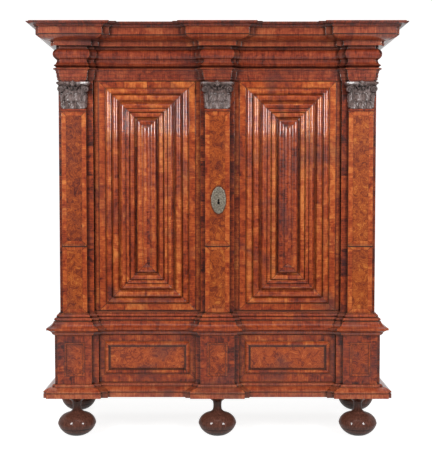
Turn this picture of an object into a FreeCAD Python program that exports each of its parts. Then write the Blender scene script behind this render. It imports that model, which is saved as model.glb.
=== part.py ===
import FreeCAD, Part
import os

# Kas cupboard: millimetres, +Z up, front towards -Y, origin on the floor under the middle of its box.

# Plan of the front: half widths from the centre line.
body_half = 808.0
corner_strip = 17.0
pilaster_width = 124.5
inner_strip = 33.5
centre_strip_half = 87.0

# Depth: how far one plane stands in front of the next, and the depth behind the pilasters.
pilaster_thick = 20.0
strip_thick = 18.0
carcass_depth = 665.0

# Heights of the storeys from the floor up.
foot_bulb_height = 130.0
foot_neck_height = 45.0
foot_cap_height = 38.0
base_floor_thick = 26.0
base_moulding_height = 63.0
base_height = 312.0
waist_height = 113.0
floor_reveal = 8.0
floor_thick = 26.0
door_height = 1173.0
architrave_height = 64.0
frieze_height = 105.0
corona_height = 83.0
crown_height = 23.0

# Projections from the planes of the body.
base_proud = 25.0
base_lip = 76.0
waist_lip = 62.0
corona_out = 95.0
crown_out = 135.0
crown_step = 5.0
architrave_out = 23.0
frieze_out = 21.0

# Boards.
side_thick = 25.0
back_thick = 20.0
back_board_count = 6
rail_thick = 28.0
cover_thick = 12.0
top_board_thick = 24.0
shelf_thick = 20.0
cleat_height = 25.0
cleat_width = 25.0
shelf_setback = 60.0
lower_shelf_height = 364.0
upper_shelf_height = 764.0
side_panel_depth = 6.0
side_panel_margin = 95.0
stop_size = 15.0
stop_margin = 76.0

# Doors.
door_thick = 32.0
door_gap = 1.0
door_end_gap = 3.0
door_stile_show = 25.5
meeting_stile_show = 25.0
door_frame_width = 139.0
door_panel_thick = 20.0
door_cushion_width = 100.5
outer_moulding_share = 0.548
relief_slope = 0.249
pivot_inset = 22.0
pivot_back = 10.0
pivot_radius = 6.0
pivot_plate_radius = 9.0
pivot_length = 20.0
running_gap = 0.3

# Pilasters and capitals.
bead_height = 12.0
bead_proud = 9.0
lower_shaft_height = 342.0
capital_height = 146.0
capital_plate_height = 11.0
abacus_half = 80.0
abacus_height = 19.0
abacus_out = 25.0
astragal_height = 12.0
volute_radius = 19.0

# Drawers and base boards.
pedestal_thick = 60.0
pedestal_panel_margin = 35.0
pedestal_panel_low = 42.0
pedestal_panel_depth = 5.0
pedestal_bead = 11.0
pedestal_bead_proud = 2.0
drawer_rail_reveal = 4.0
drawer_gap = 1.5
drawer_front_thick = 22.0
drawer_frame_margin = 27.0
drawer_frame_low = 47.0
drawer_frame_high = 31.0
drawer_frame_width = 30.0
drawer_frame_rise = 13.0
drawer_side_thick = 12.0
drawer_side_height = 200.0
drawer_side_inset = 6.0
drawer_rear_gap = 110.0
drawer_bottom_thick = 8.0
drawer_bottom_raise = 8.0
runner_width = 18.0
guide_height = 40.0
divider_thick = 24.0

# Feet.
foot_radius = 98.0
foot_sole_radius = 34.0
foot_neck_radius = 21.0
foot_cap_radius = 55.0
front_foot_back = 42.0
rear_foot_side_inset = 33.0
rear_foot_inset = 100.0

# Lock, bolts and escutcheon.
lock_height = 571.0
keyhole_x = 6.0
lock_width = 130.0
lock_case_height = 120.0
lock_depth = 22.0
lock_wall = 3.0
lock_edge = 20.0
lock_bolt_height = 16.0
lock_bolt_thick = 8.0
lock_throw = 16.0
lock_bolt_inset = 3.0
keeper_width = 18.0
keeper_wall = 4.0
keeper_gap = 4.0
slide_gap = 0.3
escutcheon_half_width = 37.5
escutcheon_half_height = 70.0
escutcheon_thick = 3.0
keyhole_radius = 5.0
keyhole_slot = 21.0
keyhole_foot_radius = 6.5
bolt_width = 16.0
bolt_thick = 8.0
bolt_length = 170.0
bolt_throw = 24.0
bolt_edge = 40.0
bolt_end_inset = 1.0
staple_height = 20.0
staple_wall = 4.0

# Planes and levels worked out from the driving dimensions.
total_depth = carcass_depth + crown_out
pilaster_y = crown_out - total_depth / 2
strip_y = pilaster_y + pilaster_thick
door_y = strip_y + strip_thick
rail_back_y = door_y + rail_thick
door_back_y = door_y + door_thick
back_y = total_depth / 2
back_front_y = back_y - back_thick
inside_half = body_half - side_thick
pilaster_outer = body_half - corner_strip
pilaster_inner = pilaster_outer - pilaster_width
pilaster_x = (pilaster_outer + pilaster_inner) / 2
pilaster_half = pilaster_width / 2
opening_half = pilaster_inner - inner_strip
field_width = opening_half - door_gap - door_stile_show - centre_strip_half - meeting_stile_show
relief_width = (field_width - door_cushion_width) / 2
outer_moulding_width = relief_width * outer_moulding_share
cushion_rise = relief_width * relief_slope

foot_height = foot_bulb_height + foot_neck_height + foot_cap_height
base_bottom_z = foot_height
base_floor_z = base_bottom_z + base_floor_thick
waist_z = base_bottom_z + base_height
waist_top_z = waist_z + waist_height
floor_top_z = waist_top_z + floor_reveal
floor_z = floor_top_z - floor_thick
door_z = floor_top_z + door_end_gap
door_top_z = door_z + door_height
architrave_z = door_top_z + door_end_gap
frieze_z = architrave_z + architrave_height
corona_z = frieze_z + frieze_height
crown_z = corona_z + corona_height
top_z = crown_z + crown_height
cover_z = top_z - cover_thick

base_pilaster_y = pilaster_y - base_proud
base_strip_y = strip_y - base_proud
base_door_y = door_y - base_proud
base_half = body_half + base_proud
drawer_outer = opening_half - base_proud
drawer_inner = centre_strip_half + base_proud
drawer_rail_top_z = base_bottom_z + base_moulding_height + drawer_rail_reveal
pedestal_back_y = base_strip_y + pedestal_thick

sides = {"left": -1, "right": 1}
parts = {}


def vector(x, y, z):
    return FreeCAD.Vector(x, y, z)


def box(x0, x1, y0, y1, z0, z1):
    return Part.makeBox(abs(x1 - x0), y1 - y0, z1 - z0, vector(min(x0, x1), y0, z0))


def outline(points, place):
    # A point of four numbers ends an arc, whose middle is its last two.
    edges = []
    here = points[0][:2]
    for point in points[1:] + points[:1]:
        there = point[:2]
        if len(point) == 4:
            edge = Part.Arc(place(*here), place(*point[2:]), place(*there))
        else:
            edge = Part.LineSegment(place(*here), place(*there))
        edges.append(edge.toShape())
        here = there
    return Part.Face(Part.Wire(edges))


def prism(points, z0, z1):
    return outline(points, lambda x, y: vector(x, y, z0)).extrude(vector(0, 0, z1 - z0))


def joined(solids):
    shape = solids[0].fuse(solids[1:]) if len(solids) > 1 else solids[0]
    return shape.removeSplitter().Solids[0]


def shaped(shares, inner, outer, high):
    # A profile given in shares of its projection and its height.
    points = []
    for share in shares:
        reach = [inner + value * (outer - inner) for value in share[0::2]]
        level = [value * high for value in share[1::2]]
        points.append(tuple(value for pair in zip(reach, level) for value in pair))
    return points


def plan_path():
    half = [
        (body_half, back_y),
        (body_half, strip_y),
        (pilaster_outer, strip_y),
        (pilaster_outer, pilaster_y),
        (pilaster_inner, pilaster_y),
        (pilaster_inner, strip_y),
        (opening_half, strip_y),
        (opening_half, door_y),
        (centre_strip_half, door_y),
        (centre_strip_half, strip_y),
        (pilaster_half, strip_y),
        (pilaster_half, pilaster_y),
    ]
    left = [(-x, y) for x, y in half]
    return left + half[::-1]


def run_normals(path):
    normals = []
    for (x0, y0), (x1, y1) in zip(path, path[1:]):
        length = abs(x1 - x0) + abs(y1 - y0)
        normals.append(((y1 - y0) / length, (x0 - x1) / length))
    return normals


def corner_offsets(path):
    # How a corner of the plan moves for each millimetre that a moulding projects.
    normals = run_normals(path)
    offsets = [normals[0]]
    for (ax, ay), (bx, by) in zip(normals, normals[1:]):
        offsets.append((ax + bx, ay + by))
    offsets.append(normals[-1])
    return offsets


def offset_plan(distance):
    path = plan_path()
    moves = corner_offsets(path)
    return [(x + mx * distance, y + my * distance) for (x, y), (mx, my) in zip(path, moves)]


def mitred_runs(profile, z):
    # One length of moulding for each face of the plan, cut to the mitre at both ends.
    path = plan_path()
    offsets = corner_offsets(path)
    reach = [value for point in profile for value in point[0::2]]
    inner = min(reach) - 1
    outer = max(reach) + 2
    heights = [value for point in profile for value in point[1::2]]
    runs = []
    for i, (nx, ny) in enumerate(run_normals(path)):
        (x0, y0), (x1, y1) = path[i], path[i + 1]
        (ax, ay), (bx, by) = offsets[i], offsets[i + 1]
        tx, ty = -ny, nx
        sx, sy = x0 - tx * outer, y0 - ty * outer
        section = outline(profile, lambda q, h: vector(sx + nx * q, sy + ny * q, z + h))
        length = abs(x1 - x0) + abs(y1 - y0) + 2 * outer
        wedge = [
            (x0 + ax * inner, y0 + ay * inner),
            (x1 + bx * inner, y1 + by * inner),
            (x1 + bx * outer, y1 + by * outer),
            (x0 + ax * outer, y0 + ay * outer),
        ]
        cutter = prism(wedge, z - 1, z + max(heights) + 1)
        runs.append(section.extrude(vector(tx * length, ty * length, 0)).common(cutter).Solids[0])
    return runs


def moulding_course(profile, z):
    # The lengths round each break are glued up as one piece: side, break, recess, break and so on.
    runs = mitred_runs(profile, z)
    bays = [runs[0:1], runs[1:7], runs[7:8], runs[8:15], runs[15:16], runs[16:22], runs[22:23]]
    return [joined(bay) for bay in bays]


def mitred_frame(profile, x0, x1, z0, z1, face_y):
    # Four mitred lengths round a field; the profile runs from its edge inwards, and rises from face_y.
    deep = max(value for point in profile for value in point[0::2])
    high = max(value for point in profile for value in point[1::2]) + 5

    def trapezium(corners):
        points = [corners[0]]
        for corner in corners[1:]:
            if abs(corner[0] - points[-1][0]) + abs(corner[1] - points[-1][1]) > 0.001:
                points.append(corner)
        plate = outline(points, lambda x, z: vector(x, face_y + 1, z))
        return plate.extrude(vector(0, -high - 1, 0))

    low_left, low_right, high_right, high_left = (x0, z0), (x1, z0), (x1, z1), (x0, z1)
    in_low_left, in_low_right = (x0 + deep, z0 + deep), (x1 - deep, z0 + deep)
    in_high_right, in_high_left = (x1 - deep, z1 - deep), (x0 + deep, z1 - deep)
    bottom = outline(profile, lambda d, h: vector(x0, face_y - h, z0 + d))
    top = outline(profile, lambda d, h: vector(x0, face_y - h, z1 - d))
    left = outline(profile, lambda d, h: vector(x0 + d, face_y - h, z0))
    right = outline(profile, lambda d, h: vector(x1 - d, face_y - h, z0))
    along_x = vector(x1 - x0, 0, 0)
    along_z = vector(0, 0, z1 - z0)
    lengths = [
        bottom.extrude(along_x).common(trapezium([low_left, low_right, in_low_right, in_low_left])),
        top.extrude(along_x).common(trapezium([high_left, high_right, in_high_right, in_high_left])),
        left.extrude(along_z).common(trapezium([low_left, in_low_left, in_high_left, high_left])),
        right.extrude(along_z).common(trapezium([low_right, in_low_right, in_high_right, high_right])),
    ]
    return [length.Solids[0] for length in lengths]


def frame_course(z0, z1, block_top_z):
    # Rails, blocks behind the breaks and side boards that a storey of mouldings is fixed to.
    solids = [box(-opening_half, opening_half, door_y, rail_back_y, z0, z1)]
    for side in sides.values():
        corner = box(side * opening_half, side * body_half, strip_y, rail_back_y, z0, z1)
        block = box(side * pilaster_inner, side * pilaster_outer, pilaster_y, strip_y, z0, block_top_z)
        solids.append(joined([corner, block]))
        solids.append(box(side * inside_half, side * body_half, rail_back_y, back_y, z0, z1))
    backing = box(-centre_strip_half, centre_strip_half, strip_y, door_y, z0, block_top_z)
    block = box(-pilaster_half, pilaster_half, pilaster_y, strip_y, z0, block_top_z)
    solids.append(joined([backing, block]))
    solids.append(box(-inside_half, inside_half, back_front_y, back_y, z0, z1))
    return solids


def pivot_x(side):
    return side * (opening_half - door_gap - pivot_inset)


pivot_y = door_y + pivot_back


def pivot_hole(side, z0, z1):
    return Part.makeCylinder(pivot_radius + running_gap, z1 - z0, vector(pivot_x(side), pivot_y, z0))


def make_feet():
    neck_z = foot_bulb_height
    cap_z = neck_z + foot_neck_height
    swell_z = foot_bulb_height * 0.48
    neck_top = foot_neck_radius * 1.14
    outline_points = [
        (0, 0),
        (foot_sole_radius, 0),
        (foot_radius, swell_z, foot_radius * 0.8, swell_z * 0.42),
        (foot_radius * 0.54, neck_z * 0.86, foot_radius * 0.86, neck_z * 0.71),
        (neck_top, neck_z, foot_radius * 0.355, neck_z * 0.925),
        (neck_top, cap_z, foot_neck_radius, (neck_z + cap_z) / 2),
        (foot_cap_radius * 0.76, cap_z + foot_cap_height * 0.37),
        (foot_cap_radius, foot_height - foot_cap_height * 0.4),
        (foot_cap_radius, foot_height),
        (0, foot_height),
    ]
    turned = outline(outline_points, lambda r, z: vector(r, 0, z))
    foot = turned.revolve(vector(0, 0, 0), vector(0, 0, 1), 360)
    front_y = pilaster_y + front_foot_back
    rear_y = back_y - rear_foot_inset
    rear_x = base_half - rear_foot_side_inset
    places = {
        "foot_front_left": (-pilaster_x, front_y),
        "foot_front_centre": (0, front_y),
        "foot_front_right": (pilaster_x, front_y),
        "foot_rear_left": (-rear_x, rear_y),
        "foot_rear_right": (rear_x, rear_y),
    }
    for name, (x, y) in places.items():
        parts[name] = [foot.translated(vector(x, y, 0))]


def pedestal(strip_edges, front_edges):
    z0, z1 = base_floor_z, waist_z
    backing = box(*strip_edges, base_strip_y, pedestal_back_y, z0, z1)
    front = box(*front_edges, base_pilaster_y, base_strip_y, z0, z1)
    panel_x0 = min(front_edges) + pedestal_panel_margin
    panel_x1 = max(front_edges) - pedestal_panel_margin
    panel_z0 = base_bottom_z + base_moulding_height + pedestal_panel_low
    panel_z1 = z1 - pedestal_panel_margin
    floor_y = base_pilaster_y + pedestal_panel_depth
    sinking = box(panel_x0, panel_x1, base_pilaster_y - 1, floor_y, panel_z0, panel_z1)
    high = pedestal_panel_depth + pedestal_bead_proud
    bead = [(0, 0), (0, high), (pedestal_bead, 0, pedestal_bead * 0.7, high * 0.8)]
    frame = mitred_frame(bead, panel_x0, panel_x1, panel_z0, panel_z1, floor_y)
    return [joined([backing, front]).cut(sinking)] + frame


def make_base():
    parts["base_floor"] = [prism(offset_plan(base_proud), base_bottom_z, base_floor_z)]
    base_back_y = back_y - back_thick
    boards = []
    for name, side in sides.items():
        outer = side * base_half
        inner = side * (base_half - side_thick)
        boards.append(box(outer, inner, pedestal_back_y, base_back_y, base_floor_z, waist_z))
        front_outer = side * (pilaster_outer + base_proud)
        front_inner = side * (pilaster_inner - base_proud)
        parts["pedestal_" + name] = pedestal((side * drawer_outer, outer), (front_inner, front_outer))
    front_half = pilaster_half + base_proud
    parts["pedestal_centre"] = pedestal((-drawer_inner, drawer_inner), (-front_half, front_half))
    parts["base_sides"] = boards
    parts["base_back"] = [box(-base_half, base_half, base_back_y, back_y, base_floor_z, waist_z)]
    half = divider_thick / 2
    runners = [box(-half, half, pedestal_back_y, base_back_y, base_floor_z, waist_z)]
    for side in sides.values():
        rail_back = base_door_y + rail_thick
        inner, outer = side * drawer_inner, side * drawer_outer
        runners.append(box(inner, outer, base_door_y, rail_back, base_floor_z, drawer_rail_top_z))
        side_gap = drawer_gap + drawer_side_inset
        guide_top_z = drawer_rail_top_z + guide_height
        outer_guide = drawer_outer - side_gap + drawer_gap
        inner_guide = drawer_inner + side_gap - drawer_gap
        edges = [
            (outer_guide, outer_guide - runner_width, outer_guide + runner_width),
            (inner_guide, inner_guide + runner_width, half),
        ]
        for guide, bearing_edge, far_edge in edges:
            y0, y1 = pedestal_back_y, base_back_y
            near, far = side * bearing_edge, side * far_edge
            runners.append(box(near, far, y0, y1, base_floor_z, drawer_rail_top_z))
            runners.append(box(side * guide, far, y0, y1, drawer_rail_top_z, guide_top_z))
    parts["drawer_rails"] = runners


def make_drawer(name, side):
    x0 = side * (drawer_inner + drawer_gap)
    x1 = side * (drawer_outer - drawer_gap)
    low, high = min(x0, x1), max(x0, x1)
    z0 = drawer_rail_top_z + drawer_gap
    z1 = waist_z - drawer_gap
    front_back_y = base_door_y + drawer_front_thick
    parts[name + "_drawer_front"] = [box(low, high, base_door_y, front_back_y, z0, z1)]
    shares = [
        (0, 0),
        (0, 0.31),
        (0.1, 0.31),
        (0.16, 0.6),
        (0.66, 0.88, 0.4, 1.03),
        (0.72, 0.2),
        (1, 0.12),
        (1, 0),
    ]
    profile = shaped(shares, 0, drawer_frame_width, drawer_frame_rise)
    edge = drawer_frame_margin
    frame_z0 = base_bottom_z + base_moulding_height + drawer_frame_low
    frame_z1 = z1 - drawer_frame_high
    frame = mitred_frame(profile, low + edge, high - edge, frame_z0, frame_z1, base_door_y)
    parts[name + "_drawer_moulding"] = frame
    side_z0 = drawer_rail_top_z + running_gap
    side_z1 = side_z0 + drawer_side_height
    end_y = back_front_y - drawer_rear_gap
    outer0, outer1 = low + drawer_side_inset, high - drawer_side_inset
    inner0, inner1 = outer0 + drawer_side_thick, outer1 - drawer_side_thick
    back_face_y = end_y - drawer_side_thick
    bottom_z = side_z0 + drawer_bottom_raise
    parts[name + "_drawer_box"] = [
        box(outer0, inner0, front_back_y, end_y, side_z0, side_z1),
        box(inner1, outer1, front_back_y, end_y, side_z0, side_z1),
        box(inner0, inner1, back_face_y, end_y, side_z0, side_z1),
        box(inner0, inner1, front_back_y, back_face_y, bottom_z, bottom_z + drawer_bottom_thick),
    ]


def make_mouldings():
    base = [
        (0, 0),
        (1, 0),
        (1, 0.36),
        (0.93, 0.38),
        (0.93, 0.43),
        (1, 0.45),
        (1, 0.54),
        (0.88, 0.61),
        (0.255, 0.79, 0.53, 0.75),
        (0.255, 0.857),
        (0, 1, 0.157, 0.968),
    ]
    base_profile = shaped(base, base_proud, base_lip, base_moulding_height)
    parts["base_moulding"] = moulding_course(base_profile, base_bottom_z)
    waist = [
        (0, 0),
        (base_proud / waist_lip, 0),
        (0.565, 0.062),
        (0.935, 0.274, 0.71, 0.204),
        (1, 0.274),
        (1, 0.363),
        (0.935, 0.381),
        (0.484, 0.62, 0.645, 0.46),
        (0.484, 0.645),
        (0.36, 0.65),
        (0.36, 0.69),
        (0.43, 0.695),
        (0.306, 0.805, 0.42, 0.765),
        (0.226, 0.805),
        (0.113, 0.956, 0.242, 0.912),
        (0.113, 1),
        (0, 1),
    ]
    parts["waist_moulding"] = moulding_course(shaped(waist, 0, waist_lip, waist_height), waist_z)
    architrave = [
        (0, 0),
        (0.217, 0),
        (0.217, 0.219),
        (0.348, 0.219),
        (0.348, 0.531),
        (0.478, 0.531),
        (0.478, 0.719),
        (1, 0.828, 0.609, 0.781),
        (1, 0.891),
        (0.391, 1),
        (0, 1),
    ]
    architrave_profile = shaped(architrave, 0, architrave_out, architrave_height)
    parts["architrave"] = moulding_course(architrave_profile, architrave_z)
    frieze = [
        (0, 0),
        (0.429, 0),
        (1, 0.095),
        (0.286, 0.352, 0.429, 0.21),
        (0.381, 0.381),
        (0.381, 0.876, 1.143, 0.633),
        (0.381, 1),
        (0, 1),
    ]
    parts["frieze"] = moulding_course(shaped(frieze, 0, frieze_out, frieze_height), frieze_z)
    corona = [
        (0, 0),
        (0.337, 0),
        (0.337, 0.265),
        (0.474, 0.313),
        (1, 0.542, 0.758, 0.373),
        (1, 1),
        (0, 1),
    ]
    parts["corona"] = moulding_course(shaped(corona, 0, corona_out, corona_height), corona_z)
    crown = [
        (0, 0),
        (0.5, 0.522, 0.143, 0.435),
        (0.914, 0.826, 0.8, 0.609),
        (1, 0.826),
        (1, 1),
    ]
    crown_profile = shaped(crown, corona_out + crown_step, crown_out, crown_height)
    crown_profile = [(0, 0)] + crown_profile + [(0, crown_height)]
    parts["crown"] = moulding_course(crown_profile, crown_z)


def make_carcass():
    parts["waist_frame"] = frame_course(waist_z, floor_z, waist_top_z)
    edge = box(-opening_half, opening_half, door_y, rail_back_y, floor_z, floor_top_z)
    boards = box(-inside_half, inside_half, rail_back_y, back_front_y, floor_z, floor_top_z)
    floor = edge.fuse(boards).removeSplitter().Solids[0]
    top_frame = frame_course(architrave_z, cover_z, cover_z)
    for side in sides.values():
        floor = floor.cut(pivot_hole(side, floor_top_z - pivot_length, floor_top_z))
        top_frame[0] = top_frame[0].cut(pivot_hole(side, architrave_z, architrave_z + pivot_length))
    bolt_x0, bolt_x1 = bolt_sides()
    gap = slide_gap
    bolt_y1 = door_back_y + staple_wall + bolt_thick + gap
    bolt_y0 = door_back_y + staple_wall - gap
    drop = floor_top_z - bolt_throw
    floor = floor.cut(box(bolt_x0 - gap, bolt_x1 + gap, bolt_y0, bolt_y1, drop, floor_top_z))
    parts["cupboard_floor"] = [floor]
    parts["entablature_frame"] = top_frame
    top_board_z = architrave_z + top_board_thick
    top = box(-inside_half, inside_half, rail_back_y, back_front_y, architrave_z, top_board_z)
    catch = box(bolt_x0 - gap, bolt_x1 + gap, bolt_y0, bolt_y1, architrave_z, architrave_z + bolt_throw)
    parts["top_board"] = [top.cut(catch)]
    parts["top_cover"] = [prism(plan_path(), cover_z, top_z)]
    stiles = []
    for name, side in sides.items():
        inner, outer = side * inside_half, side * body_half
        board = box(inner, outer, rail_back_y, back_y, floor_z, architrave_z)
        middle_z = (floor_z + architrave_z) / 2
        face = side * (body_half - side_panel_depth)
        margin = side_panel_margin
        for z0, z1 in [(floor_z, middle_z), (middle_z, architrave_z)]:
            y0, y1 = rail_back_y + margin, back_y - margin
            inset = margin / 2
            low = z0 + (margin if z0 == floor_z else inset)
            high = z1 - (inset if z0 == floor_z else margin)
            board = board.cut(box(face, side * (body_half + 1), y0, y1, low, high))
        parts["side_" + name] = [board]
        stiles.append(box(side * opening_half, outer, strip_y, rail_back_y, floor_z, architrave_z))
    parts["front_stiles"] = stiles
    width = 2 * inside_half / back_board_count
    planks = []
    for i in range(back_board_count):
        x = -inside_half + i * width
        planks.append(box(x, x + width, back_front_y, back_y, floor_z, architrave_z))
    parts["back_boards"] = planks
    shelf_y = door_y + shelf_setback
    shelves = []
    cleats = []
    for height in (lower_shelf_height, upper_shelf_height):
        z = floor_top_z + height
        shelves.append(box(-inside_half, inside_half, shelf_y, back_front_y, z, z + shelf_thick))
        for side in sides.values():
            x0 = side * (inside_half - cleat_width)
            cleats.append(box(x0, side * inside_half, shelf_y, back_front_y, z - cleat_height, z))
    parts["shelves"] = shelves
    parts["shelf_cleats"] = cleats
    stops = []
    stop_y = door_back_y + door_gap
    for side in sides.values():
        x0 = side * (centre_strip_half + stop_margin)
        x1 = side * (opening_half - stop_margin)
        stops.append(box(x0, x1, stop_y, stop_y + stop_size, floor_top_z, floor_top_z + stop_size))
        stops.append(box(x0, x1, stop_y, stop_y + stop_size, architrave_z - stop_size, architrave_z))
    parts["door_stops"] = stops


def pilaster(x, z0):
    x0, x1 = x - pilaster_half, x + pilaster_half
    bead_z = waist_top_z + lower_shaft_height
    capital_z = capital_bottom_z()
    nose = pilaster_thick + bead_proud
    bead = [
        (0, 0),
        (pilaster_thick, 0),
        (nose - bead_proud * 0.2, bead_height * 0.45, pilaster_thick + bead_proud * 0.25, bead_height * 0.33),
        (nose, bead_height * 0.5),
        (nose, bead_height * 0.75),
        (pilaster_thick, bead_height),
        (0, bead_height),
    ]
    band = outline(bead, lambda q, h: vector(x0, strip_y - q, bead_z + h)).extrude(vector(x1 - x0, 0, 0))
    return [
        box(x0, x1, pilaster_y, strip_y, z0, bead_z),
        band,
        box(x0, x1, pilaster_y, strip_y, bead_z + bead_height, capital_z),
    ]


def capital_bottom_z():
    return architrave_z - capital_plate_height - capital_height


def capital(x, top_z):
    # A Corinthian capital in half relief: astragal, bell, two tiers of leaves, volutes and abacus.
    z0 = capital_bottom_z()
    abacus_z = architrave_z - capital_plate_height - abacus_height
    abacus_top_z = abacus_z + abacus_height
    bell_z = z0 + astragal_height
    bell_height = abacus_z - bell_z
    back = -pilaster_thick
    half = astragal_height / 2

    def along(points, x0, x1):
        section = outline(points, lambda q, z: vector(x + x0, pilaster_y - q, z))
        return section.extrude(vector(x1 - x0, 0, 0))

    def rectangle(half_width, q, z):
        left, right = -half_width, half_width
        corners = [(left, back), (right, back), (right, q), (left, q), (left, back)]
        return Part.makePolygon([vector(x + dx, pilaster_y - dq, z) for dx, dq in corners])

    lip = abacus_out * 0.08
    neck = [(back, z0), (lip, z0), (lip, bell_z, lip + half, z0 + half), (back, bell_z)]
    solids = [along(neck, -pilaster_half - lip, pilaster_half + lip)]
    sections = [
        rectangle(pilaster_half * 0.9, abacus_out * 0.04, bell_z),
        rectangle(pilaster_half * 0.94, abacus_out * 0.2, bell_z + bell_height * 0.6),
        rectangle(pilaster_half * 1.13, abacus_out * 0.6, abacus_z),
    ]
    solids.append(Part.makeLoft(sections, True, True))
    leaf_width = pilaster_width / 3.4
    leaf_pitch = pilaster_width / 3.14
    curl = abacus_out * 0.56
    tiers = [(0.0, 0.52, 0.16, [-1.0, 0.0, 1.0]), (0.3, 0.5, 0.08, [-0.5, 0.5])]
    for start, tall, root, columns in tiers:
        low = bell_z + bell_height * start
        high = low + bell_height * tall
        out = abacus_out * root
        leaf = [
            (back, low),
            (out, low),
            (out + curl * 0.29, high - bell_height * 0.157),
            (out + curl, high - bell_height * 0.087, out + curl * 0.5, high - bell_height * 0.104),
            (out + curl * 0.71, high, out + curl * 1.21, high - bell_height * 0.026),
            (back, high - bell_height * 0.026),
        ]
        for column in columns:
            middle = column * leaf_pitch
            solids.append(along(leaf, middle - leaf_width / 2, middle + leaf_width / 2))
    for side in sides.values():
        centre = vector(x + side * (abacus_half - volute_radius), strip_y, abacus_z - volute_radius * 0.9)
        deep = pilaster_thick + abacus_out * 0.84
        solids.append(Part.makeCylinder(volute_radius, deep, centre, vector(0, -1, 0)))
    horn = abacus_half * 0.9
    chamfer = abacus_out * 0.68
    plan = [
        (-abacus_half, back),
        (-abacus_half, chamfer),
        (-horn, abacus_out),
        (horn, abacus_out, 0, abacus_out * 0.56),
        (abacus_half, chamfer),
        (abacus_half, back),
    ]
    slab = outline(plan, lambda dx, q: vector(x + dx, pilaster_y - q, abacus_z))
    solids.append(slab.extrude(vector(0, 0, abacus_height)))
    rosette = vector(x, pilaster_y, abacus_z + abacus_height / 2)
    solids.append(Part.makeCylinder(abacus_height * 0.7, abacus_out, rosette, vector(0, -1, 0)))
    plate_y = pilaster_y - abacus_out * 0.16
    solids.append(box(x - pilaster_half, x + pilaster_half, plate_y, strip_y, abacus_top_z, top_z))
    return joined(solids)


def make_pilasters():
    for name, side in sides.items():
        parts["pilaster_" + name] = pilaster(side * pilaster_x, waist_top_z)
        parts["capital_" + name] = [capital(side * pilaster_x, architrave_z)]
    strip_z = waist_top_z + door_end_gap
    half = centre_strip_half - door_gap
    parts["centre_strip"] = [box(-half, half, strip_y, door_y, strip_z, door_top_z)]
    shafts = pilaster(0, strip_z)
    keyhole = keyhole_cutter(pilaster_y - 1, strip_y)
    parts["pilaster_centre"] = [shafts[0], shafts[1], shafts[2].cut(keyhole)]
    parts["capital_centre"] = [capital(0, door_top_z)]


def lock_z():
    return floor_top_z + lock_height


def keyhole_cutter(y0, y1):
    z = lock_z()
    round_part = Part.makeCylinder(keyhole_radius, y1 - y0, vector(keyhole_x, y0, z), vector(0, 1, 0))
    half = keyhole_radius / 2
    foot_z = z - keyhole_slot + keyhole_foot_radius
    slot = box(keyhole_x - half, keyhole_x + half, y0, y1, foot_z, z)
    foot = Part.makeCylinder(keyhole_foot_radius, y1 - y0, vector(keyhole_x, y0, foot_z), vector(0, 1, 0))
    return round_part.fuse([slot, foot])


def relief_profiles():
    # Waves of the door's mouldings, from the field's edge inwards, rising towards the middle.
    outer = [
        (0, 0),
        (0, 0.104),
        (0.3, 0.104),
        (0.3, 0.06),
        (0.33, 0.06),
        (0.61, 0.287, 0.455, 0.392),
        (0.63, 0.23),
        (0.65, 0.275),
        (0.94, 0.405, 0.8, 0.614),
        (0.965, 0.34),
        (1, 0.34),
        (1, 0),
    ]
    inner = [
        (0, 0),
        (0, 0.34),
        (0.045, 0.392),
        (0.35, 0.705, 0.19, 0.744),
        (0.37, 0.653),
        (0.585, 0.757, 0.475, 0.862),
        (0.605, 0.718),
        (0.87, 0.757, 0.735, 0.953),
        (0.9, 0.614),
        (1, 0.562, 0.94, 0.568),
        (1, 0),
    ]
    cushion = [
        (0, 0),
        (0, 0.562),
        (0.03, 0.735),
        (0.575, 0.816, 0.3, 0.878),
        (1, 1, 0.77, 0.953),
        (1, 0),
    ]
    split, end = outer_moulding_width, relief_width
    rise = cushion_rise
    return (
        shaped(outer, 0, split, rise),
        shaped(inner, split, end, rise),
        shaped(cushion, end, field_width / 2, rise),
    )


def make_door(name, side, meeting_x):
    # The hinge edge is turned about the pivot, so that it clears the stile as the door opens.
    hinge_x = side * (opening_half - door_gap)
    z0, z1 = door_z, door_top_z
    y0, y1 = door_y, door_back_y
    field_outer = hinge_x - side * door_stile_show
    field_inner = side * (centre_strip_half + meeting_stile_show)
    frame_inner = field_inner + side * outer_moulding_width
    frame_outer = hinge_x - side * door_frame_width
    hinge_stile = box(hinge_x, frame_outer, y0, y1, z0, z1)
    corner = box(hinge_x, pivot_x(side), y0, pivot_y, z0, z1)
    round_edge = Part.makeCylinder(pivot_inset, z1 - z0, vector(pivot_x(side), pivot_y, z0))
    hinge_stile = hinge_stile.cut(corner.cut(round_edge))
    meeting_stile = box(frame_inner, meeting_x, y0, y1, z0, z1)
    rail = outer_moulding_width
    parts[name + "_door_frame"] = [
        hinge_stile,
        meeting_stile,
        box(frame_inner, frame_outer, y0, y1, z0, z0 + rail),
        box(frame_inner, frame_outer, y0, y1, z1 - rail, z1),
        box(frame_inner, frame_outer, y0, y0 + door_panel_thick, z0 + rail, z1 - rail),
    ]
    low, high = min(field_outer, field_inner), max(field_outer, field_inner)
    outer, inner, cushion = relief_profiles()
    parts[name + "_door_outer_moulding"] = mitred_frame(outer, low, high, z0, z1, y0)
    parts[name + "_door_inner_moulding"] = mitred_frame(inner, low, high, z0, z1, y0)
    parts[name + "_door_cushion"] = [joined(mitred_frame(cushion, low, high, z0, z1, y0))]
    plate = door_end_gap - running_gap
    pin = pivot_length - running_gap
    pins = []
    for base_z, direction in [(z1, 1), (z0, -1)]:
        at = vector(pivot_x(side), pivot_y, base_z)
        axis = vector(0, 0, direction)
        disc = Part.makeCylinder(pivot_plate_radius, plate, at, axis)
        shaft = Part.makeCylinder(pivot_radius, plate + pin, at, axis)
        pins.append(joined([disc, shaft]))
    parts[name + "_door_pivots"] = pins


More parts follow.
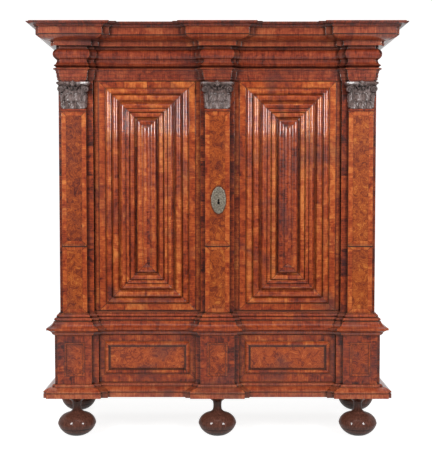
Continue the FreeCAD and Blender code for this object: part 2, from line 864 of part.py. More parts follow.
def make_lock():
    # Rim lock on the back of the right door; its bolt throws into a keeper on the left door.
    edge = -centre_strip_half + door_gap
    x0 = edge + lock_edge
    x1 = x0 + lock_width
    z = lock_z()
    half = lock_case_height / 2
    y0 = door_back_y
    y1 = y0 + lock_depth
    case = box(x0, x1, y0, y1, z - half, z + half)
    gap = slide_gap
    bolt_y0 = y0 + (lock_depth - lock_bolt_thick) / 2
    bolt_y1 = bolt_y0 + lock_bolt_thick
    bolt_half = lock_bolt_height / 2
    bolt_end = x1 - lock_wall - lock_throw
    slot_z0, slot_z1 = z - bolt_half - gap, z + bolt_half + gap
    channel = box(x0 - 1, x1 - lock_wall, bolt_y0 - gap, bolt_y1 + gap, slot_z0, slot_z1)
    parts["lock_case"] = [case.cut(channel)]
    bolt_tip = edge + lock_bolt_inset
    parts["lock_bolt"] = [box(bolt_tip, bolt_end, bolt_y0, bolt_y1, z - bolt_half, z + bolt_half)]
    keeper_x1 = -centre_strip_half - keeper_gap
    keeper_x0 = keeper_x1 - keeper_width
    reach = bolt_half + gap + keeper_wall
    keeper_y1 = bolt_y1 + gap + keeper_wall
    keeper = box(keeper_x0, keeper_x1, y0, keeper_y1, z - reach, z + reach)
    mouth = box(keeper_x0 - 1, keeper_x1 + 1, bolt_y0 - gap, bolt_y1 + gap, slot_z0, slot_z1)
    parts["lock_keeper"] = [keeper.cut(mouth)]
    ellipse = Part.Ellipse(vector(0, 0, 0), escutcheon_half_height, escutcheon_half_width).toShape()
    plate = Part.Face(Part.Wire([ellipse])).extrude(vector(0, 0, escutcheon_thick))
    plate.rotate(vector(0, 0, 0), vector(0, 0, 1), 90)
    plate.rotate(vector(0, 0, 0), vector(1, 0, 0), 90)
    plate.translate(vector(keyhole_x, pilaster_y, z))
    parts["escutcheon"] = [plate.cut(keyhole_cutter(pilaster_y - escutcheon_thick - 1, pilaster_y + 1))]


def bolt_sides():
    x1 = -centre_strip_half - bolt_edge
    return x1 - bolt_width, x1


def make_slide_bolts():
    # Two slide bolts on the back of the left door, drawn back at rest.
    x0, x1 = bolt_sides()
    y0 = door_back_y + staple_wall
    y1 = y0 + bolt_thick
    gap = slide_gap
    clear = door_end_gap + bolt_end_inset
    ranges = {
        "top": (architrave_z - clear - bolt_length, architrave_z - clear),
        "bottom": (floor_top_z + clear, floor_top_z + clear + bolt_length),
    }
    staples = []
    for name, (z0, z1) in ranges.items():
        parts["left_door_" + name + "_bolt"] = [box(x0, x1, y0, y1, z0, z1)]
        for share in (0.3, 0.7):
            middle = z0 + (z1 - z0) * share
            s0, s1 = middle - staple_height / 2, middle + staple_height / 2
            wall = gap + staple_wall
            block = box(x0 - wall, x1 + wall, door_back_y, y1 + wall, s0, s1)
            hole = box(x0 - gap, x1 + gap, y0 - gap, y1 + gap, s0 - 1, s1 + 1)
            staples.append(block.cut(hole))
    parts["bolt_staples"] = staples


def make_doors():
    make_door("left", -1, -centre_strip_half - door_gap)
    make_door("right", 1, -centre_strip_half + door_gap)


make_feet()
make_base()
for drawer_name, drawer_side in sides.items():
    make_drawer(drawer_name, drawer_side)
make_carcass()
make_mouldings()
make_pilasters()
make_doors()
make_lock()
make_slide_bolts()

os.makedirs("parts", exist_ok=True)
for node, solids in parts.items():
    for solid in solids:
        if not solid.isValid():
            print("not valid:", node)
    Part.makeCompound(solids).exportStep("parts/" + node + ".step")
print(len(parts), "nodes,", sum(len(solids) for solids in parts.values()), "solids")
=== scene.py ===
import math
import bmesh
import bpy
from mathutils import Matrix, Vector


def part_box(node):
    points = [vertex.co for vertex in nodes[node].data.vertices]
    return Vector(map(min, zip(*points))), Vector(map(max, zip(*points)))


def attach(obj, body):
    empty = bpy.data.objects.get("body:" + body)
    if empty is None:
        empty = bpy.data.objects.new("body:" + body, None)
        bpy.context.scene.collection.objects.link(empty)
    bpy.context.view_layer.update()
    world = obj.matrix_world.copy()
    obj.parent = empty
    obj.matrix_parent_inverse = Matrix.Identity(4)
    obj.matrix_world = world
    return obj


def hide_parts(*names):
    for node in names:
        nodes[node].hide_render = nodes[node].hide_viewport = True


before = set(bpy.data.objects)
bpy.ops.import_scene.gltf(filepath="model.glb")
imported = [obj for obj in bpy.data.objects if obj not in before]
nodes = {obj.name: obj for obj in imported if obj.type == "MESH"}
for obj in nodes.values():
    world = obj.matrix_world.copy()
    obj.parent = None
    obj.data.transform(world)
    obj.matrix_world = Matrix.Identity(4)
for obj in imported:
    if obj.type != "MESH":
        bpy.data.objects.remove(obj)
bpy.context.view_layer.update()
mm = 0.001
print("frame loaded:", len(nodes), "nodes")


def linear(hexText):  # sRGB hex to the linear colour that the shaders take
    parts = [int(hexText[i:i + 2], 16) / 255 for i in (1, 3, 5)]
    return [c / 12.92 if c <= 0.04045 else ((c + 0.055) / 1.055) ** 2.4 for c in parts] + [1.0]


def setInputs(tree, node, inputs):  # links nodes and sockets, and sets numbers and colours
    pairs = inputs.items() if isinstance(inputs, dict) else enumerate(inputs)
    for key, value in pairs:
        if isinstance(value, bpy.types.Node):
            value = value.outputs[0]
        if isinstance(value, bpy.types.NodeSocket):
            tree.links.new(value, node.inputs[key])
        else:
            node.inputs[key].default_value = value


def addNode(tree, kind, inputs=(), **settings):  # kind is the node's type without ShaderNode in front
    node = tree.nodes.new("ShaderNode" + kind)
    for name, value in settings.items():
        setattr(node, name, value)
    setInputs(tree, node, inputs)
    return node


def newMaterial(name):
    material = bpy.data.materials.new(name)
    material.use_nodes = True
    return material, material.node_tree, material.node_tree.nodes["Principled BSDF"]


def setRamp(node, stops):
    ramp = node.color_ramp
    while len(ramp.elements) < len(stops):
        ramp.elements.new(0.5)
    for element, (place, colour) in zip(ramp.elements, stops):
        element.position = place
        element.color = linear(colour)


def distance(tree, value, centre):  # how far a value is from a centre, either way
    away = addNode(tree, "Math", [value, centre], operation="SUBTRACT")
    return addNode(tree, "Math", [away], operation="ABSOLUTE")


def inHollows(tree, reach, samples, ends, dark):  # a share that grows in hollows and corners
    hollow = addNode(tree, "AmbientOcclusion", {"Distance": reach}, samples=samples)
    return addNode(tree, "MapRange", [hollow.outputs["AO"], *ends, dark, 0.0])


def paint(tree, colour, layers):  # lays one tone after the other over a colour, each by its share
    for share, tone in layers:
        tone = linear(tone) if isinstance(tone, str) else tone
        colour = addNode(tree, "Mix", {0: share, 6: colour, 7: tone}, data_type="RGBA").outputs[2]
    return colour


def dress(nodeNames, material):
    for name in nodeNames:
        slots = nodes[name].data.materials
        slots.clear()
        slots.append(material)


# Walnut veneer, hand-cut, laid in short pieces, French-polished: red-orange figure, grooves darkened by wax
# and painted shade, wet gloss
walnutTones = [(0.0, "#1f0806"), (0.25, "#551a0d"), (0.48, "#8b3213"), (0.72, "#ad4d1e"), (1.0, "#cf7637")]
burrTones = [(0.0, "#2a0c06"), (0.25, "#64200d"), (0.5, "#963b10"), (0.75, "#b4521b"), (1.0, "#d17634")]
crossband = {
    "tones": walnutTones, "shift": 0.05, "seed": 0.0, "bandWidth": 400 * mm,
    "fieldTones": burrTones, "fieldShift": 0.0, "upperShift": 0.0,
    "pieceLength": 95 * mm, "pieceShare": 0.18, "seam": 0.25,
    "grainWidth": 5 * mm, "grainLength": 60 * mm, "grainShare": 0.8,
    "figureSize": 24 * mm, "figureShare": 0.6, "flameSize": 70 * mm, "flameShare": 1.0,
    # the wax and grime shares darken hollows and corners: old wax and painted shade together
    "stain": 0.6, "waxAndShade": 0.9, "waxAndShadeReach": 34 * mm, "grimeAndShade": 0.85, "bare": None,
}
burrFigure = {  # burr walnut: swirls and small dark eyes, drawn coarser than real so that they show
    "scale": 0.6, "share": 0.9, "shift": 0.18, "eyeScale": 0.9, "eyeShare": -0.3,
    "swirls": 42.0, "swirlShare": 0.16,
}
jumps = {"band": 3.71, "side": 5.3, "upright": 17.9, "figure": (9, 7, 8)}  # so that neighbours differ
breaks = {  # of the front's plan: old wax and painted shade darken the strips beside each block
    "ends": (896 * mm, 36 * mm), "middle": (-171 * mm, 32 * mm), "front": -200 * mm, "dark": 0.5,
}
jointAndShadeLines = {  # where each dark line is full, where it ends, and how dark it is: mitres are joints, strings are inlay, the others are painted shade
    "mitre": (0.4 * mm, 3 * mm, 0.75), "string": (0.8 * mm, 2.4 * mm, 0.6), "rim": (1 * mm, 4 * mm, 0.8),
    "quirk": (0.5 * mm, -1.5 * mm, 0.8), "cove": (2 * mm, 4 * mm, 0.9), "collar": (1.0, 1.16, 0.7),
}
collarSize = (38 * mm, 1, 70 * mm)
wearAndPaintedLight = {
    "cloudsPerMetre": 5.5, "stained": (0.53, 0.72), "stain": "#4a2a2b", "seamWidth": 0.012,
    # the lighter tone on edges is wear and painted highlight
    "edge": 2.2 * mm, "wornAndHighlitEdges": (0.8, 0.99, 0.5), "wornAndHighlitTone": "#c98350",
    # the dark tone is for joints, wax and painted shade
    "waxAndShade": "#1a0b07", "waxAndShadeFrom": (0.3, 0.92), "quirkReach": 14 * mm, "grimeAndShadeFrom": (0.45, 0.95),
}
polish = {
    "specular": 0.25, "coat": 0.9, "coatRoughness": 0.05, "roughness": (0.3, 0.42),
    "ripplesPerMetre": 38.0, "rippleShare": 3.0, "bump": 0.3, "depth": 0.3 * mm,
}
bareOak = {
    "tones": [(0.3, "#4a2d1a"), (0.52, "#764f2f"), (0.75, "#94683f")], "fibresPerMetre": (110, 110, 5),
    "roughness": 0.7, "inward": -0.3,
}


def addLine(tree, lines, kind, measure, dark=None):  # adds a dark line to those drawn so far
    full, end, usual = jointAndShadeLines[kind]
    line = addNode(tree, "MapRange", [measure, full, end, usual if dark is None else dark, 0.0])
    return addNode(tree, "Math", [lines, line], operation="MAXIMUM")


def layVeneer(tree, place, layout, bandWidth):  # which way the pieces run, and where fields and lines are
    spot = place.outputs["Object"]
    x, y, z = addNode(tree, "SeparateXYZ", [spot]).outputs
    inside, lines, across, upper = 0.0, 0.0, z, 0.0
    if layout["kind"] == "course":  # a length runs along x on the front and along y on a return
        facing = addNode(tree, "SeparateXYZ", [place.outputs["Normal"]])
        turned = addNode(tree, "Math", [facing], operation="ABSOLUTE")
        turned = addNode(tree, "Math", [turned, 0.5], operation="GREATER_THAN")
        run = addNode(tree, "Mix", {0: turned, 2: x, 3: y})
        offX, offY = distance(tree, x, 0.0), distance(tree, y, 0.0)
        # wax and painted shade in the strips beside each break
        for strip, way in (("ends", "ADD"), ("middle", "SUBTRACT")):
            beside = addNode(tree, "Math", [offX, offY], operation=way)
            beside = addNode(tree, "Math", [beside, *breaks[strip]], operation="COMPARE")
            lines = addNode(tree, "Math", [beside, breaks["dark"], lines], operation="MULTIPLY_ADD")
        front = addNode(tree, "Math", [y, breaks["front"]], operation="LESS_THAN")
        lines = addNode(tree, "Math", [lines, front], operation="MULTIPLY")
    elif layout["kind"] == "stack":  # pieces one above the other
        run, across = z, addNode(tree, "Math", [x, y], operation="ADD")
    elif layout["kind"] == "boards":  # long grain upwards
        run = addNode(tree, "Math", [x, y], operation="ADD")
    else:  # mitred round a field: upright pieces beside it, level ones above and below
        low, high = layout["low"], layout["high"]
        middle, half = (low + high) / 2, (high - low) / 2
        level, rise = middle.z, half.z
        if "split" in layout:  # two fields, one above the other
            upper = addNode(tree, "Math", [z, layout["split"]], operation="GREATER_THAN")
            levels = [(low.z + layout["split"]) / 2, (high.z + layout["split"]) / 2]
            level = addNode(tree, "Mix", {0: upper, 2: levels[0], 3: levels[1]})
            rise = addNode(tree, "Mix", {0: upper, 2: levels[0] - low.z, 3: high.z - levels[1]})
        inX = addNode(tree, "Math", [half.x, distance(tree, x, middle.x)], operation="SUBTRACT")
        inZ = addNode(tree, "Math", [rise, distance(tree, z, level)], operation="SUBTRACT")
        upright = addNode(tree, "Math", [inX, inZ], operation="LESS_THAN")
        run = addNode(tree, "Mix", {0: upright, 2: x, 3: z})
        across = addNode(tree, "Mix", {0: upright, 2: z, 3: x})
        depth = addNode(tree, "Math", [inX, inZ], operation="MINIMUM")
        band = addNode(tree, "Math", [depth, bandWidth], operation="DIVIDE")
        band = addNode(tree, "Math", [band], operation="FLOOR")
        side = addNode(tree, "Math", [x, middle.x], operation="GREATER_THAN")
        for part, jump in ((band, "band"), (side, "side"), (upright, "upright")):
            run = addNode(tree, "Math", [part, jumps[jump], run], operation="MULTIPLY_ADD")
        lines = addLine(tree, lines, "mitre", distance(tree, inX, inZ), layout.get("mitre"))
        if "border" in layout:
            inside = addNode(tree, "Math", [depth, layout["border"]], operation="GREATER_THAN")
            outside = addNode(tree, "Math", [1.0, inside], operation="SUBTRACT")
            lines = addNode(tree, "Math", [lines, outside], operation="MULTIPLY")
            fromBorder = distance(tree, depth, layout["border"])
            lines = addLine(tree, lines, "string", fromBorder, layout.get("string"))
        if "rim" in layout:  # painted shade along the outer edge, where the moulding meets the frame
            lines = addLine(tree, lines, "rim", depth)
        if "quirk" in layout:  # painted shade fills the quirk at the inner edge of a frame
            fromQuirk = addNode(tree, "Math", [depth, layout["quirk"]], operation="SUBTRACT")
            lines = addLine(tree, lines, "quirk", fromQuirk)
    if layout.get("cove"):  # painted shadow in a level line, under a bead or in a cut
        lines = addLine(tree, lines, "cove", distance(tree, z, layout["cove"]))
    if "plate" in layout:  # and painted shade round the key plate
        fromPlate = addNode(tree, "VectorMath", [spot, layout["plate"]], operation="SUBTRACT")
        fromPlate = addNode(tree, "VectorMath", [fromPlate, collarSize], operation="DIVIDE")
        fromPlate = addNode(tree, "VectorMath", [fromPlate], operation="LENGTH").outputs["Value"]
        lines = addLine(tree, lines, "collar", fromPlate)
    return run, across, lines, inside, upper


def polishedVeneer(name, layout, **changes):
    look = {**crossband, **changes}
    material, tree, shader = newMaterial(name)
    place = addNode(tree, "TexCoord")
    spot = place.outputs["Object"]
    run, across, lines, inside, upper = layVeneer(tree, place, layout, look["bandWidth"])
    run = addNode(tree, "Math", [run, look["seed"]], operation="ADD")
    perPiece = {"W": run, "Scale": 1 / look["pieceLength"], "Randomness": 0.9}
    pieces = addNode(tree, "TexVoronoi", perPiece, voronoi_dimensions="1D")
    seam = addNode(tree, "TexVoronoi", perPiece, voronoi_dimensions="1D", feature="DISTANCE_TO_EDGE")
    drawn = pieces.outputs["Color"]
    draw = addNode(tree, "SeparateColor", [drawn])
    figureShift = addNode(tree, "VectorMath", [drawn, jumps["figure"]], operation="MULTIPLY")
    grainRun = addNode(tree, "Math", [run, 1 / look["grainWidth"]], operation="MULTIPLY")
    grainUp = addNode(tree, "Math", [across, 1 / look["grainLength"]], operation="MULTIPLY")
    grainAt = addNode(tree, "CombineXYZ", [grainRun, grainUp, draw.outputs[1]])
    grain = addNode(tree, "TexNoise", {"Vector": grainAt, "Scale": 1.0, "Detail": 3.0, "Distortion": 0.6})
    fine = addNode(tree, "VectorMath", {0: spot, "Scale": 1 / look["figureSize"]}, operation="SCALE")
    figureAt = addNode(tree, "VectorMath", [fine, figureShift], operation="ADD")
    figure = addNode(tree, "TexNoise", {"Vector": figureAt, "Scale": 1.0, "Detail": 3.0, "Distortion": 1.6})
    wide = addNode(tree, "VectorMath", {0: spot, "Scale": 1 / look["flameSize"]}, operation="SCALE")
    flameAt = addNode(tree, "VectorMath", [wide, figureShift], operation="ADD")
    flame = addNode(tree, "TexNoise", {"Vector": flameAt, "Scale": 1.0, "Detail": 2.0, "Distortion": 1.8})
    shares = [look[kind + "Share"] for kind in ("grain", "figure", "flame", "piece")]
    tone = 0.5 + look["shift"] - sum(shares) / 2
    for part, share in zip((grain, figure, flame, draw), shares):
        tone = addNode(tree, "Math", [part, share, tone], operation="MULTIPLY_ADD")
    bandRamp = addNode(tree, "ValToRGB", [tone])
    setRamp(bandRamp, look["tones"])

    burrLook = {"Scale": burrFigure["scale"], "Detail": 4.0, "Roughness": 0.55, "Distortion": 1.5}
    burr = addNode(tree, "TexNoise", {"Vector": fine, **burrLook})
    swirl = addNode(tree, "Math", [burr, burrFigure["swirls"]], operation="MULTIPLY")
    swirl = addNode(tree, "Math", [swirl], operation="SINE")
    eyeLook = {"Scale": burrFigure["eyeScale"], "Smoothness": 0.7}
    eyes = addNode(tree, "TexVoronoi", {"Vector": fine, **eyeLook}, feature="SMOOTH_F1")
    fieldTone = look["fieldShift"] + burrFigure["shift"]
    fieldShares = [burrFigure["share"], burrFigure["eyeShare"], burrFigure["swirlShare"], look["upperShift"]]
    for part, share in zip((burr, eyes, swirl, upper), fieldShares):
        fieldTone = addNode(tree, "Math", [part, share, fieldTone], operation="MULTIPLY_ADD")
    fieldRamp = addNode(tree, "ValToRGB", [fieldTone])
    setRamp(fieldRamp, look["fieldTones"])

    cloudLook = {"Scale": wearAndPaintedLight["cloudsPerMetre"], "Detail": 3.0, "Distortion": 0.8}
    cloud = addNode(tree, "TexNoise", {"Vector": spot, **cloudLook})
    stain = addNode(tree, "MapRange", [cloud, *wearAndPaintedLight["stained"], 0.0, look["stain"]])
    layers, seamless = [(inside, fieldRamp), (stain, wearAndPaintedLight["stain"])], inside
    if look["bare"]:  # the side towards the shelves is bare oak
        facing = addNode(tree, "SeparateXYZ", [place.outputs["Normal"]])
        inner = addNode(tree, "Math", [facing.outputs[1], 0.5], operation="GREATER_THAN")
        if look["bare"] == "towards the middle":
            x = addNode(tree, "SeparateXYZ", [spot])
            inner = addNode(tree, "Math", [facing, x], operation="MULTIPLY")
            inner = addNode(tree, "Math", [inner, bareOak["inward"]], operation="LESS_THAN")
        seamless = addNode(tree, "Math", [inside, inner], operation="MAXIMUM")
        stretch = addNode(tree, "Mapping", {"Vector": spot, "Scale": bareOak["fibresPerMetre"]})
        fibre = addNode(tree, "TexNoise", {"Vector": stretch, "Scale": 1.0, "Detail": 5.0, "Distortion": 0.5})
        fibreRamp = addNode(tree, "ValToRGB", [fibre])
        setRamp(fibreRamp, bareOak["tones"])
        layers.append((inner, fibreRamp))
    worn = addNode(tree, "Bevel", {"Radius": wearAndPaintedLight["edge"]}, samples=6)  # rubbed edges, painted lighter than the faces: wear and painted highlight
    straight = addNode(tree, "NewGeometry").outputs["Normal"]
    turn = addNode(tree, "VectorMath", [worn, straight], operation="DOT_PRODUCT").outputs["Value"]
    wornAndHighlitEdges = addNode(tree, "MapRange", [turn, *wearAndPaintedLight["wornAndHighlitEdges"], 0.0])
    joint = addNode(tree, "MapRange", [seam, 0.0, wearAndPaintedLight["seamWidth"], look["seam"], 0.0])
    seamed = addNode(tree, "Math", [1.0, seamless], operation="SUBTRACT")
    joint = addNode(tree, "Math", [joint, seamed], operation="MULTIPLY")
    # wax and painted shade in hollows and corners, broad and narrow
    waxAndShade = inHollows(tree, look["waxAndShadeReach"], 4, wearAndPaintedLight["waxAndShadeFrom"], look["waxAndShade"])
    grimeAndShade = inHollows(tree, wearAndPaintedLight["quirkReach"], 4, wearAndPaintedLight["grimeAndShadeFrom"], look["grimeAndShade"])
    dark = lines
    for shade in (joint, waxAndShade, grimeAndShade):
        dark = addNode(tree, "Math", [dark, shade], operation="MAXIMUM")
    # edges lightened by wear and painted highlight, then joints, wax and painted shade
    layers += [(wornAndHighlitEdges, wearAndPaintedLight["wornAndHighlitTone"]), (dark, wearAndPaintedLight["waxAndShade"])]

    sheen, coat = addNode(tree, "MapRange", [figure, 0.3, 0.7, *polish["roughness"]]), polish["coat"]
    if look["bare"]:  # no polish on the oak
        sheen = addNode(tree, "Mix", {0: inner, 2: sheen, 3: bareOak["roughness"]})
        coat = addNode(tree, "MapRange", [inner, 0.0, 1.0, polish["coat"], 0.0])
    ripple = addNode(tree, "TexNoise", {"Vector": spot, "Scale": polish["ripplesPerMetre"], "Detail": 1.0})
    height = addNode(tree, "Math", [ripple, polish["rippleShare"], grain], operation="MULTIPLY_ADD")
    relief = {"Strength": polish["bump"], "Distance": polish["depth"], "Height": height, "Normal": worn}
    setInputs(tree, shader, {
        "Base Color": paint(tree, bandRamp, layers), "Roughness": sheen, "Coat Weight": coat,
        "Specular IOR Level": polish["specular"], "Coat Roughness": polish["coatRoughness"],
        "Normal": addNode(tree, "Bump", relief), "Coat Normal": worn,
    })
    return material


# Oak boards, planed and left plain: tan, open straight grain, dull
oak = {
    "grainWidth": 9 * mm, "grainLength": 220 * mm, "poresPerGrain": 5.0, "grainShare": 0.75, "poreShare": 0.3,
    "tones": [(0.3, "#5d3f25"), (0.52, "#8d6a43"), (0.75, "#a98556")], "cornerDark": "#2a1c12",
    "facing": [(0.3, "#36130a"), (0.52, "#6b2c12"), (0.75, "#8f4620")], "facingDepth": 4 * mm,
    "cornerReach": 60 * mm, "roughness": (0.55, 0.75), "bump": 0.4, "depth": 0.4 * mm,
}
boarding = {  # upright boards side by side, nailed near their edges
    "count": 6, "rows": 3, "nailInset": 38 * mm, "endInset": 30 * mm, "head": (3.5 * mm, 5 * mm),
    "edge": (0.004, 0.012), "shade": "#4a3320", "shadeShare": 0.45, "mark": "#16100c", "markShare": 0.95,
}


def plainOak(name, axis, facedNode=None, boardNode=None):
    material, tree, shader = newMaterial(name)
    spot = addNode(tree, "TexCoord").outputs["Object"]
    across, deep, up = addNode(tree, "SeparateXYZ", [spot]).outputs
    stretch = [1 / oak["grainWidth"]] * 3
    stretch[axis] = 1 / oak["grainLength"]
    at = addNode(tree, "Mapping", {"Vector": spot, "Scale": stretch})
    grainLook = {"Scale": 1.0, "Detail": 6.0, "Roughness": 0.62, "Distortion": 0.5}
    grain = addNode(tree, "TexNoise", {"Vector": at, **grainLook})
    pores = addNode(tree, "TexNoise", {"Vector": at, "Scale": oak["poresPerGrain"], "Detail": 2.0})
    mixed = addNode(tree, "Math", [grain, oak["grainShare"]], operation="MULTIPLY")
    mixed = addNode(tree, "Math", [pores, oak["poreShare"], mixed], operation="MULTIPLY_ADD")
    ramp = addNode(tree, "ValToRGB", [mixed])
    setRamp(ramp, oak["tones"])
    # darker in corners and hollows
    layers = [(inHollows(tree, oak["cornerReach"], 4, (0.2, 0.9), 0.6), oak["cornerDark"])]
    if boardNode:  # each board a little lighter or darker than the next, with iron nails
        low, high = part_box(boardNode)
        pitch = (high.x - low.x) / boarding["count"]
        nailStep = (high.z - low.z - 2 * boarding["endInset"]) / boarding["rows"]
        count = addNode(tree, "Math", [across, low.x], operation="SUBTRACT")
        count = addNode(tree, "Math", [count, pitch], operation="DIVIDE")
        board = addNode(tree, "Math", [count], operation="FLOOR")
        draw = addNode(tree, "TexWhiteNoise", {"W": board}, noise_dimensions="1D").outputs["Value"]
        shade = addNode(tree, "MapRange", [draw, 0.0, 1.0, 0.0, boarding["shadeShare"]])
        share = addNode(tree, "Math", [count, 0.5], operation="PINGPONG")
        edge = addNode(tree, "MapRange", [share, *boarding["edge"], boarding["markShare"], 0.0])
        fromEdge = addNode(tree, "Math", [share, pitch, -boarding["nailInset"]], operation="MULTIPLY_ADD")
        step = addNode(tree, "Math", [up, low.z + boarding["endInset"]], operation="SUBTRACT")
        step = addNode(tree, "Math", [step, nailStep / 2], operation="PINGPONG")
        nailAt = addNode(tree, "CombineXYZ", [fromEdge, step])
        reach = addNode(tree, "VectorMath", [nailAt], operation="LENGTH").outputs["Value"]
        head = addNode(tree, "MapRange", [reach, *boarding["head"], boarding["markShare"], 0.0])
        mark = addNode(tree, "Math", [edge, head], operation="MAXIMUM")
        layers += [(shade, boarding["shade"]), (mark, boarding["mark"])]
    if facedNode:  # the front edge is faced with walnut
        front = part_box(facedNode)[0].y + oak["facingDepth"]
        edge = addNode(tree, "Math", [deep, front], operation="LESS_THAN")
        walnut = addNode(tree, "ValToRGB", [mixed])
        setRamp(walnut, oak["facing"])
        layers.append((edge, walnut))
    rough = addNode(tree, "MapRange", [pores, 0.3, 0.7, *oak["roughness"]])
    bump = addNode(tree, "Bump", {"Strength": oak["bump"], "Distance": oak["depth"], "Height": mixed})
    setInputs(tree, shader, {"Base Color": paint(tree, ramp, layers), "Roughness": rough, "Normal": bump})
    return material


# Hardwood, turned or carved, stained dark and waxed: brown grain, near black in the hollows from wax and
# painted shade, small highlights
stained = {
    "grainWidth": 8 * mm, "grainLength": 60 * mm, "stops": (0.3, 0.5, 0.72), "waxAndShade": "#0d0705",
    "coatRoughness": 0.08, "bump": 0.25, "depth": 0.4 * mm,
    "ringWidth": (1.5 * mm, 4 * mm), "ringDepth": -6.0,
}


def stainedWood(name, tones, coat, hollowSize, roughness, specular=0.5, coatIor=1.4, ring=None):
    material, tree, shader = newMaterial(name)
    spot = addNode(tree, "TexCoord").outputs["Object"]
    stretch = [1 / stained[way] for way in ("grainWidth", "grainWidth", "grainLength")]
    at = addNode(tree, "Mapping", {"Vector": spot, "Scale": stretch})
    grainLook = {"Scale": 1.0, "Detail": 4.0, "Roughness": 0.6, "Distortion": 0.8}
    grain = addNode(tree, "TexNoise", {"Vector": at, **grainLook})
    ramp = addNode(tree, "ValToRGB", [grain])
    setRamp(ramp, list(zip(stained["stops"], tones)))
    # wax and painted shade in the hollows; on the feet it also darkens the ball low down near the floor
    waxAndShade = inHollows(tree, hollowSize, 6, (0.3, 0.95), 0.9)
    height = grain
    if ring is not None:  # a line turned round the ball
        up = addNode(tree, "SeparateXYZ", [spot]).outputs[2]
        cut = addNode(tree, "MapRange", [distance(tree, up, ring), *stained["ringWidth"], 0.8, 0.0])
        waxAndShade = addNode(tree, "Math", [waxAndShade, cut], operation="MAXIMUM")
        height = addNode(tree, "Math", [cut, stained["ringDepth"], grain], operation="MULTIPLY_ADD")
    colour = paint(tree, ramp, [(waxAndShade, stained["waxAndShade"])])
    rough = addNode(tree, "MapRange", [grain, 0.3, 0.7, roughness - 0.06, roughness + 0.08])
    relief = {"Strength": stained["bump"], "Distance": stained["depth"], "Height": height}
    setInputs(tree, shader, {
        "Base Color": colour, "Roughness": rough, "Specular IOR Level": specular, "Coat Weight": coat,
        "Coat Roughness": stained["coatRoughness"], "Coat IOR": coatIor,
        "Normal": addNode(tree, "Bump", relief),
    })
    return material


# Metal, cast or forged, dulled by age: mottled reflections, darker in the hollows
aged = {"stops": (0.32, 0.5, 0.7), "dirt": "#14110e", "dirtReach": 4 * mm, "bump": 0.3}


def agedMetal(name, tones, roughness, mottle, pitting, metallic=1.0):
    material, tree, shader = newMaterial(name)
    spot = addNode(tree, "TexCoord").outputs["Object"]
    blotchLook = {"Scale": 1 / mottle, "Detail": 5.0, "Roughness": 0.65}
    blotch = addNode(tree, "TexNoise", {"Vector": spot, **blotchLook})
    ramp = addNode(tree, "ValToRGB", [blotch])
    setRamp(ramp, list(zip(aged["stops"], tones)))
    dirt = inHollows(tree, aged["dirtReach"], 6, (0.4, 0.95), 0.9)
    colour = paint(tree, ramp, [(dirt, aged["dirt"])])
    rough = addNode(tree, "MapRange", [blotch, 0.3, 0.7, roughness - 0.1, roughness + 0.12])
    bump = addNode(tree, "Bump", {"Strength": aged["bump"], "Distance": pitting, "Height": blotch})
    setInputs(tree, shader, {"Base Color": colour, "Metallic": metallic, "Roughness": rough, "Normal": bump})
    return material


corniceTones = [(0.0, "#210907"), (0.25, "#541c12"), (0.48, "#85321c"), (0.72, "#a44b29"), (1.0, "#c06e42")]
courses = {  # one finish for each course of mouldings: how long its pieces are, and how light it is
    "crown": {"pieceLength": 120 * mm, "shift": -0.12, "seed": 3.1, "tones": corniceTones},
    "corona": {"pieceLength": 105 * mm, "shift": 0.15, "seed": 7.7, "tones": corniceTones},
    "frieze": {"pieceLength": 140 * mm, "shift": 0.0, "seed": 11.3, "tones": corniceTones},
    "architrave": {"pieceLength": 110 * mm, "shift": 0.03, "seed": 19.9, "tones": corniceTones},
    "waist_moulding": {"pieceLength": 125 * mm, "shift": 0.05, "seed": 23.2},
    "base_moulding": {"pieceLength": 150 * mm, "shift": 0.22, "seed": 29.4, "tones": corniceTones},
}
everyCourse = {"pieceShare": 0.1, "flameShare": 0.7, "waxAndShadeReach": 52 * mm}
incised = {"corona": 2041 * mm}  # a dark line painted along the ogee: the painted shade of a cut
for course, changes in courses.items():
    layout = {"kind": "course", "cove": incised.get(course)}
    dress([course], polishedVeneer("walnutVeneer." + course, layout, **everyCourse, **changes))
print("courses veneered")


def mitredRound(node, **marks):  # a veneer layout that follows a node's outline
    low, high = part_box(node)
    return {"kind": "mitred", "low": low, "high": high, **marks}


doorRelief = {  # the mouldings of a door from its edge inwards, with the names of their finishes
    "outer_moulding": ("Waves", {"bandWidth": 35 * mm, "pieceLength": 420 * mm, "pieceShare": 0.3,
                                 "shift": 0.15, "waxAndShade": 0.5, "grimeAndShade": 0.65}),
    "inner_moulding": ("Beads", {"bandWidth": 31 * mm, "pieceLength": 460 * mm, "pieceShare": 0.4,
                                 "shift": 0.13, "waxAndShade": 0.55, "grimeAndShade": 0.75}),
    "cushion": ("Cushion", {"bandWidth": 29 * mm, "pieceLength": 320 * mm, "pieceShare": 0.35,
                            "shift": 0.05, "waxAndShade": 0.5}),
}
# the rim is painted shade along the outer edge of the door's mouldings
reliefMarks = {"outer_moulding": {"rim": True}}
seedSteps = {
    "outer_moulding": 0, "inner_moulding": 9, "cushion": 15, "drawerFrame": 21, "drawer": 25, "pedestal": 4,
}
